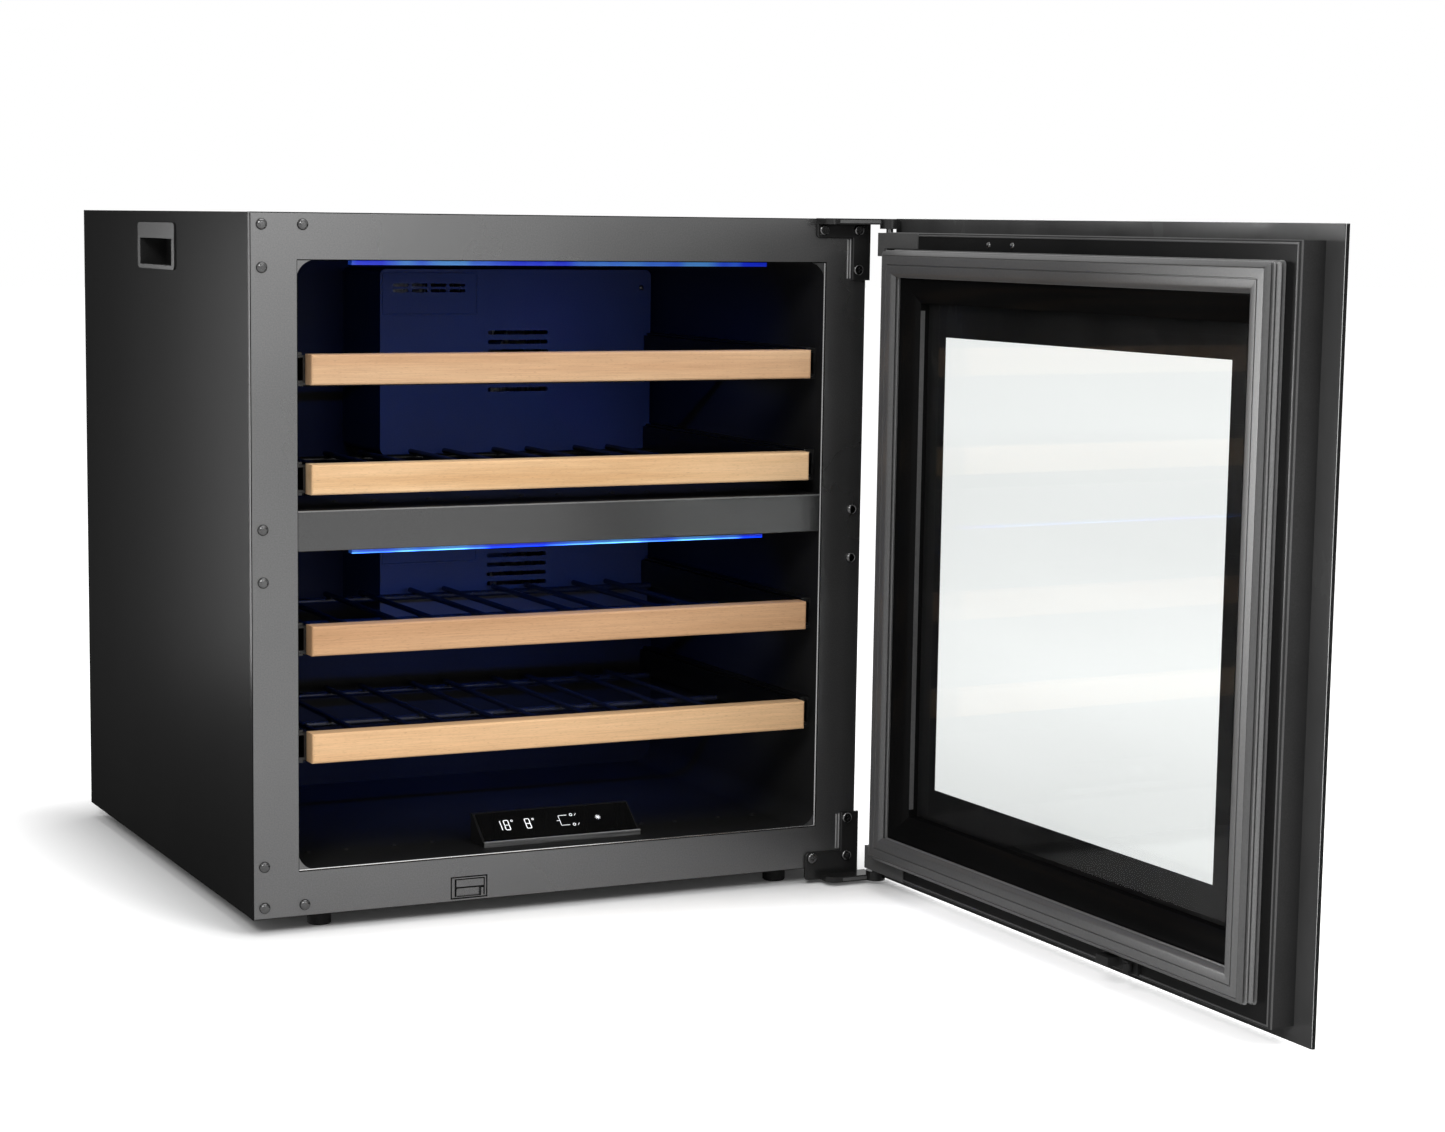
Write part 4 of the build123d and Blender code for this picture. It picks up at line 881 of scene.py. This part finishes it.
bracket_top, bracket_mid = BRACKET_UP + BRACKET_H, BRACKET_UP + BRACKET_H / 2
symbols = [
    stroke(BRACKET_X, BRACKET_UP, BRACKET_X, bracket_top, MARK_STROKE),
    stroke(BRACKET_X, BRACKET_UP, BRACKET_X + BRACKET_ARM, BRACKET_UP, MARK_STROKE),
    stroke(BRACKET_X, bracket_top, BRACKET_X + BRACKET_ARM, bracket_top, MARK_STROKE),
    stroke(BRACKET_X - BRACKET_TICK, bracket_mid, BRACKET_X, bracket_mid, MARK_STROKE),
]
for up in (BRACKET_UP, bracket_top):
    dash_left, dash_right = (BRACKET_X + x for x in DASH_X)
    symbols.append(small_ring(BRACKET_X + DOT_X, up, *DOT_SIZE))
    symbols.append(stroke(dash_left, up - DASH_HALF, dash_right, up + DASH_HALF, MARK_STROKE))
for turn in range(STAR_LINES):
    angle = math.pi / STAR_LINES * turn
    reach = Vector((math.cos(angle), math.sin(angle))) * STAR_R
    start, end = (STAR_X - reach.x, STAR_UP - reach.y), (STAR_X + reach.x, STAR_UP + reach.y)
    symbols.append(stroke(*start, *end, MARK_STROKE))
piece("console_symbols", joined(symbols), DIGITS, "cabinet")

# Studio, in metres and watts: pale floor, white surroundings, soft lamps, the blue light of the two
# strips and the camera. A lift is a glow from one level to another over a span of distance

AMBIENT = 0.5
FLOOR_TONE = 0.85
FLOOR_LIFTS = ((0.02, 0.62, 0.0, 0.12), (0.0, 0.1, 0.6, 2.4))
MIRROR_LIFTS = ((0.0, 0.36, 1.1, 2.2), (0.0, 0.28, 2.2, 7.0))
LIT_POOL = (-0.1, -1.2, 0.0)
FLOOR_SIZE = 40.0
SOFTBOXES = (  # name, place, target, size, power, and the kind of ray that it is hidden from
    ("key", (-1.9, -2.6, 2.1), (0, -0.2, 0.3), (0.9, 0.9), 45.0, None),
    ("top", (0.2, -0.4, 2.6), (0, -0.1, 0.3), (2.0, 2.0), 30.0, None),
    ("front", (0.9, -2.6, 2.3), (0, -0.2, 0.3), (1.2, 1.6), 45.0, "visible_glossy"),
    ("side_glow", (-1.11, 0.6, 0.34), (-1.11, -0.4, 0.34), (1.0, 0.54), 84.0, "visible_diffuse"),
    ("front_glow", (0.3, -2.7, 1.0), (-0.2, -0.26, 0.5), (0.8, 0.8), 6.0, "visible_diffuse"),
)
STRIP_SIZE, STRIP_POWER = (0.36, 0.006), 0.9
STRIP_BLUE = (0.02, 0.13, 1.0)
STRIP_BELOW = 0.0062
STRIP_AIM_BACK, STRIP_AIM_DOWN = 0.3, 0.2
STRIP_SPREAD_DEG = 100
LOWER_STRIP_UP = 0.262  # above the opening's lower edge


def math_node(tree, operation, first, second):
    """The result of an operation on two values."""
    node = add(tree, "ShaderNodeMath", {"operation": operation})
    put(tree, node.inputs[0], first)
    put(tree, node.inputs[1], second)
    return node.outputs["Value"]


def vector_math(tree, operation, first, second=None):
    """The result of a vector operation on one or two vectors."""
    node = add(tree, "ShaderNodeVectorMath", {"operation": operation})
    put(tree, node.inputs[0], first)
    if second is not None:
        put(tree, node.inputs[1], second)
    return node.outputs["Value" if operation == "LENGTH" else "Vector"]


def seen_by(tree, first, *others):
    """1 for the named kinds of ray, else 0."""
    path = add(tree, "ShaderNodeLightPath")
    total = path.outputs[first]
    for name in others:
        total = math_node(tree, "MAXIMUM", total, path.outputs[name])
    return total


def lifted(tree, away, lifts, *rays):
    """The sum of two lifts by the length of a vector, for the named kinds of ray."""
    distance = vector_math(tree, "LENGTH", away)
    near, far = (spread(tree, distance, *lift) for lift in lifts)
    return math_node(tree, "MULTIPLY", math_node(tree, "ADD", near, far), seen_by(tree, *rays))


def make_world():
    """White wherever it is seen, and a plain ambient level for lighting."""
    world = bpy.data.worlds.new("studio")
    bpy.context.scene.world = world
    world.use_nodes = True
    tree = world.node_tree
    background = tree.nodes["Background"]
    background.inputs["Color"].default_value = (1, 1, 1, 1)
    seen = seen_by(tree, "Is Camera Ray", "Is Glossy Ray", "Is Transmission Ray")
    put(tree, background.inputs["Strength"], spread(tree, seen, AMBIENT, 1.0, 0.0, 1.0))


def floor_material():
    """Matt, and whiter away from the cabinet in view and away from the lit pool in mirrors."""
    material = bpy.data.materials.new("studio_floor")
    material.use_nodes = True
    tree = material.node_tree
    tree.nodes.remove(tree.nodes["Principled BSDF"])
    matt = add(tree, "ShaderNodeBsdfDiffuse", Color=(FLOOR_TONE, FLOOR_TONE, FLOOR_TONE, 1))
    coords = add(tree, "ShaderNodeTexCoord").outputs["Object"]
    away = vector_math(tree, "ABSOLUTE", coords)
    away = vector_math(tree, "SUBTRACT", away, (CABINET_HIGH.x * MM, REAR_Y * MM, 0))
    away = vector_math(tree, "MAXIMUM", away, (0, 0, 0))
    from_pool = vector_math(tree, "SUBTRACT", coords, LIT_POOL)
    direct = lifted(tree, away, FLOOR_LIFTS, "Is Camera Ray")
    mirrored = lifted(tree, from_pool, MIRROR_LIFTS, "Is Glossy Ray", "Is Transmission Ray")
    glow = add(tree, "ShaderNodeEmission", Strength=math_node(tree, "ADD", direct, mirrored))
    total = add(tree, "ShaderNodeAddShader")
    put(tree, total.inputs[0], matt.outputs["BSDF"])
    put(tree, total.inputs[1], glow.outputs["Emission"])
    put(tree, tree.nodes["Material Output"].inputs["Surface"], total.outputs["Shader"])
    return material


def make_floor():
    """A wide pale floor that keeps the shadows."""
    half = FLOOR_SIZE / 2
    corners = [(-half, -half, 0), (half, -half, 0), (half, half, 0), (-half, half, 0)]
    mesh = bpy.data.meshes.new("studio_floor")
    mesh.from_pydata(corners, [], [(0, 1, 2, 3)])
    mesh.materials.append(floor_material())
    floor = bpy.data.objects.new("studio_floor", mesh)
    bpy.context.scene.collection.objects.link(floor)


def softbox(name, place, target, size, power, hidden_from=None):
    """A rectangular lamp aimed at a point, out of the camera's sight."""
    data = bpy.data.lights.new(name, "AREA")
    data.shape = "RECTANGLE"
    data.size, data.size_y = size
    data.energy = power
    lamp = bpy.data.objects.new(name, data)
    bpy.context.scene.collection.objects.link(lamp)
    lamp.visible_camera = False
    if hidden_from:
        setattr(lamp, hidden_from, False)
    lamp.location = place
    lamp.rotation_euler = (Vector(target) - Vector(place)).to_track_quat("-Z", "Y").to_euler()
    return lamp


def light_strips():
    """The blue light that the two strips throw down and back into their zones."""
    low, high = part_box("lamp_bars")
    middle_y = (low.y + high.y) / 2
    for name, z in (("upper_strip", high.z), ("lower_strip", OPENING_LOW * MM + LOWER_STRIP_UP)):
        start = (0, middle_y, z - STRIP_BELOW)
        target = (0, middle_y + STRIP_AIM_BACK, z - STRIP_AIM_DOWN)
        lamp = softbox(name, start, target, STRIP_SIZE, STRIP_POWER, "visible_glossy")
        lamp.data.color = STRIP_BLUE
        lamp.data.spread = math.radians(STRIP_SPREAD_DEG)


def make_camera():
    """The camera at the photograph's viewpoint."""
    forward = Vector((
        math.sin(HEADING) * math.cos(PITCH), math.cos(HEADING) * math.cos(PITCH), math.sin(PITCH)))
    level = Vector((math.cos(HEADING), -math.sin(HEADING), 0))
    upright = level.cross(forward)
    right = level * math.cos(ROLL) + upright * math.sin(ROLL)
    up = upright * math.cos(ROLL) - level * math.sin(ROLL)
    data = bpy.data.cameras.new("photo_camera")
    data.sensor_width = SENSOR_W
    data.lens = FOCAL_PX / IMAGE_W * SENSOR_W
    data.shift_x = (IMAGE_W / 2 - CENTRE_PX[0]) / IMAGE_W
    data.shift_y = (CENTRE_PX[1] - IMAGE_H / 2) / IMAGE_W
    camera = bpy.data.objects.new("photo_camera", data)
    bpy.context.scene.collection.objects.link(camera)
    axes = Matrix((right, up, -forward)).transposed()
    camera.matrix_world = Matrix.Translation(CAMERA_AT) @ axes.to_4x4()
    bpy.context.scene.camera = camera


make_world()
make_floor()
for softbox_row in SOFTBOXES:
    softbox(*softbox_row)
light_strips()
make_camera()
bpy.context.scene.view_settings.view_transform = "Standard"
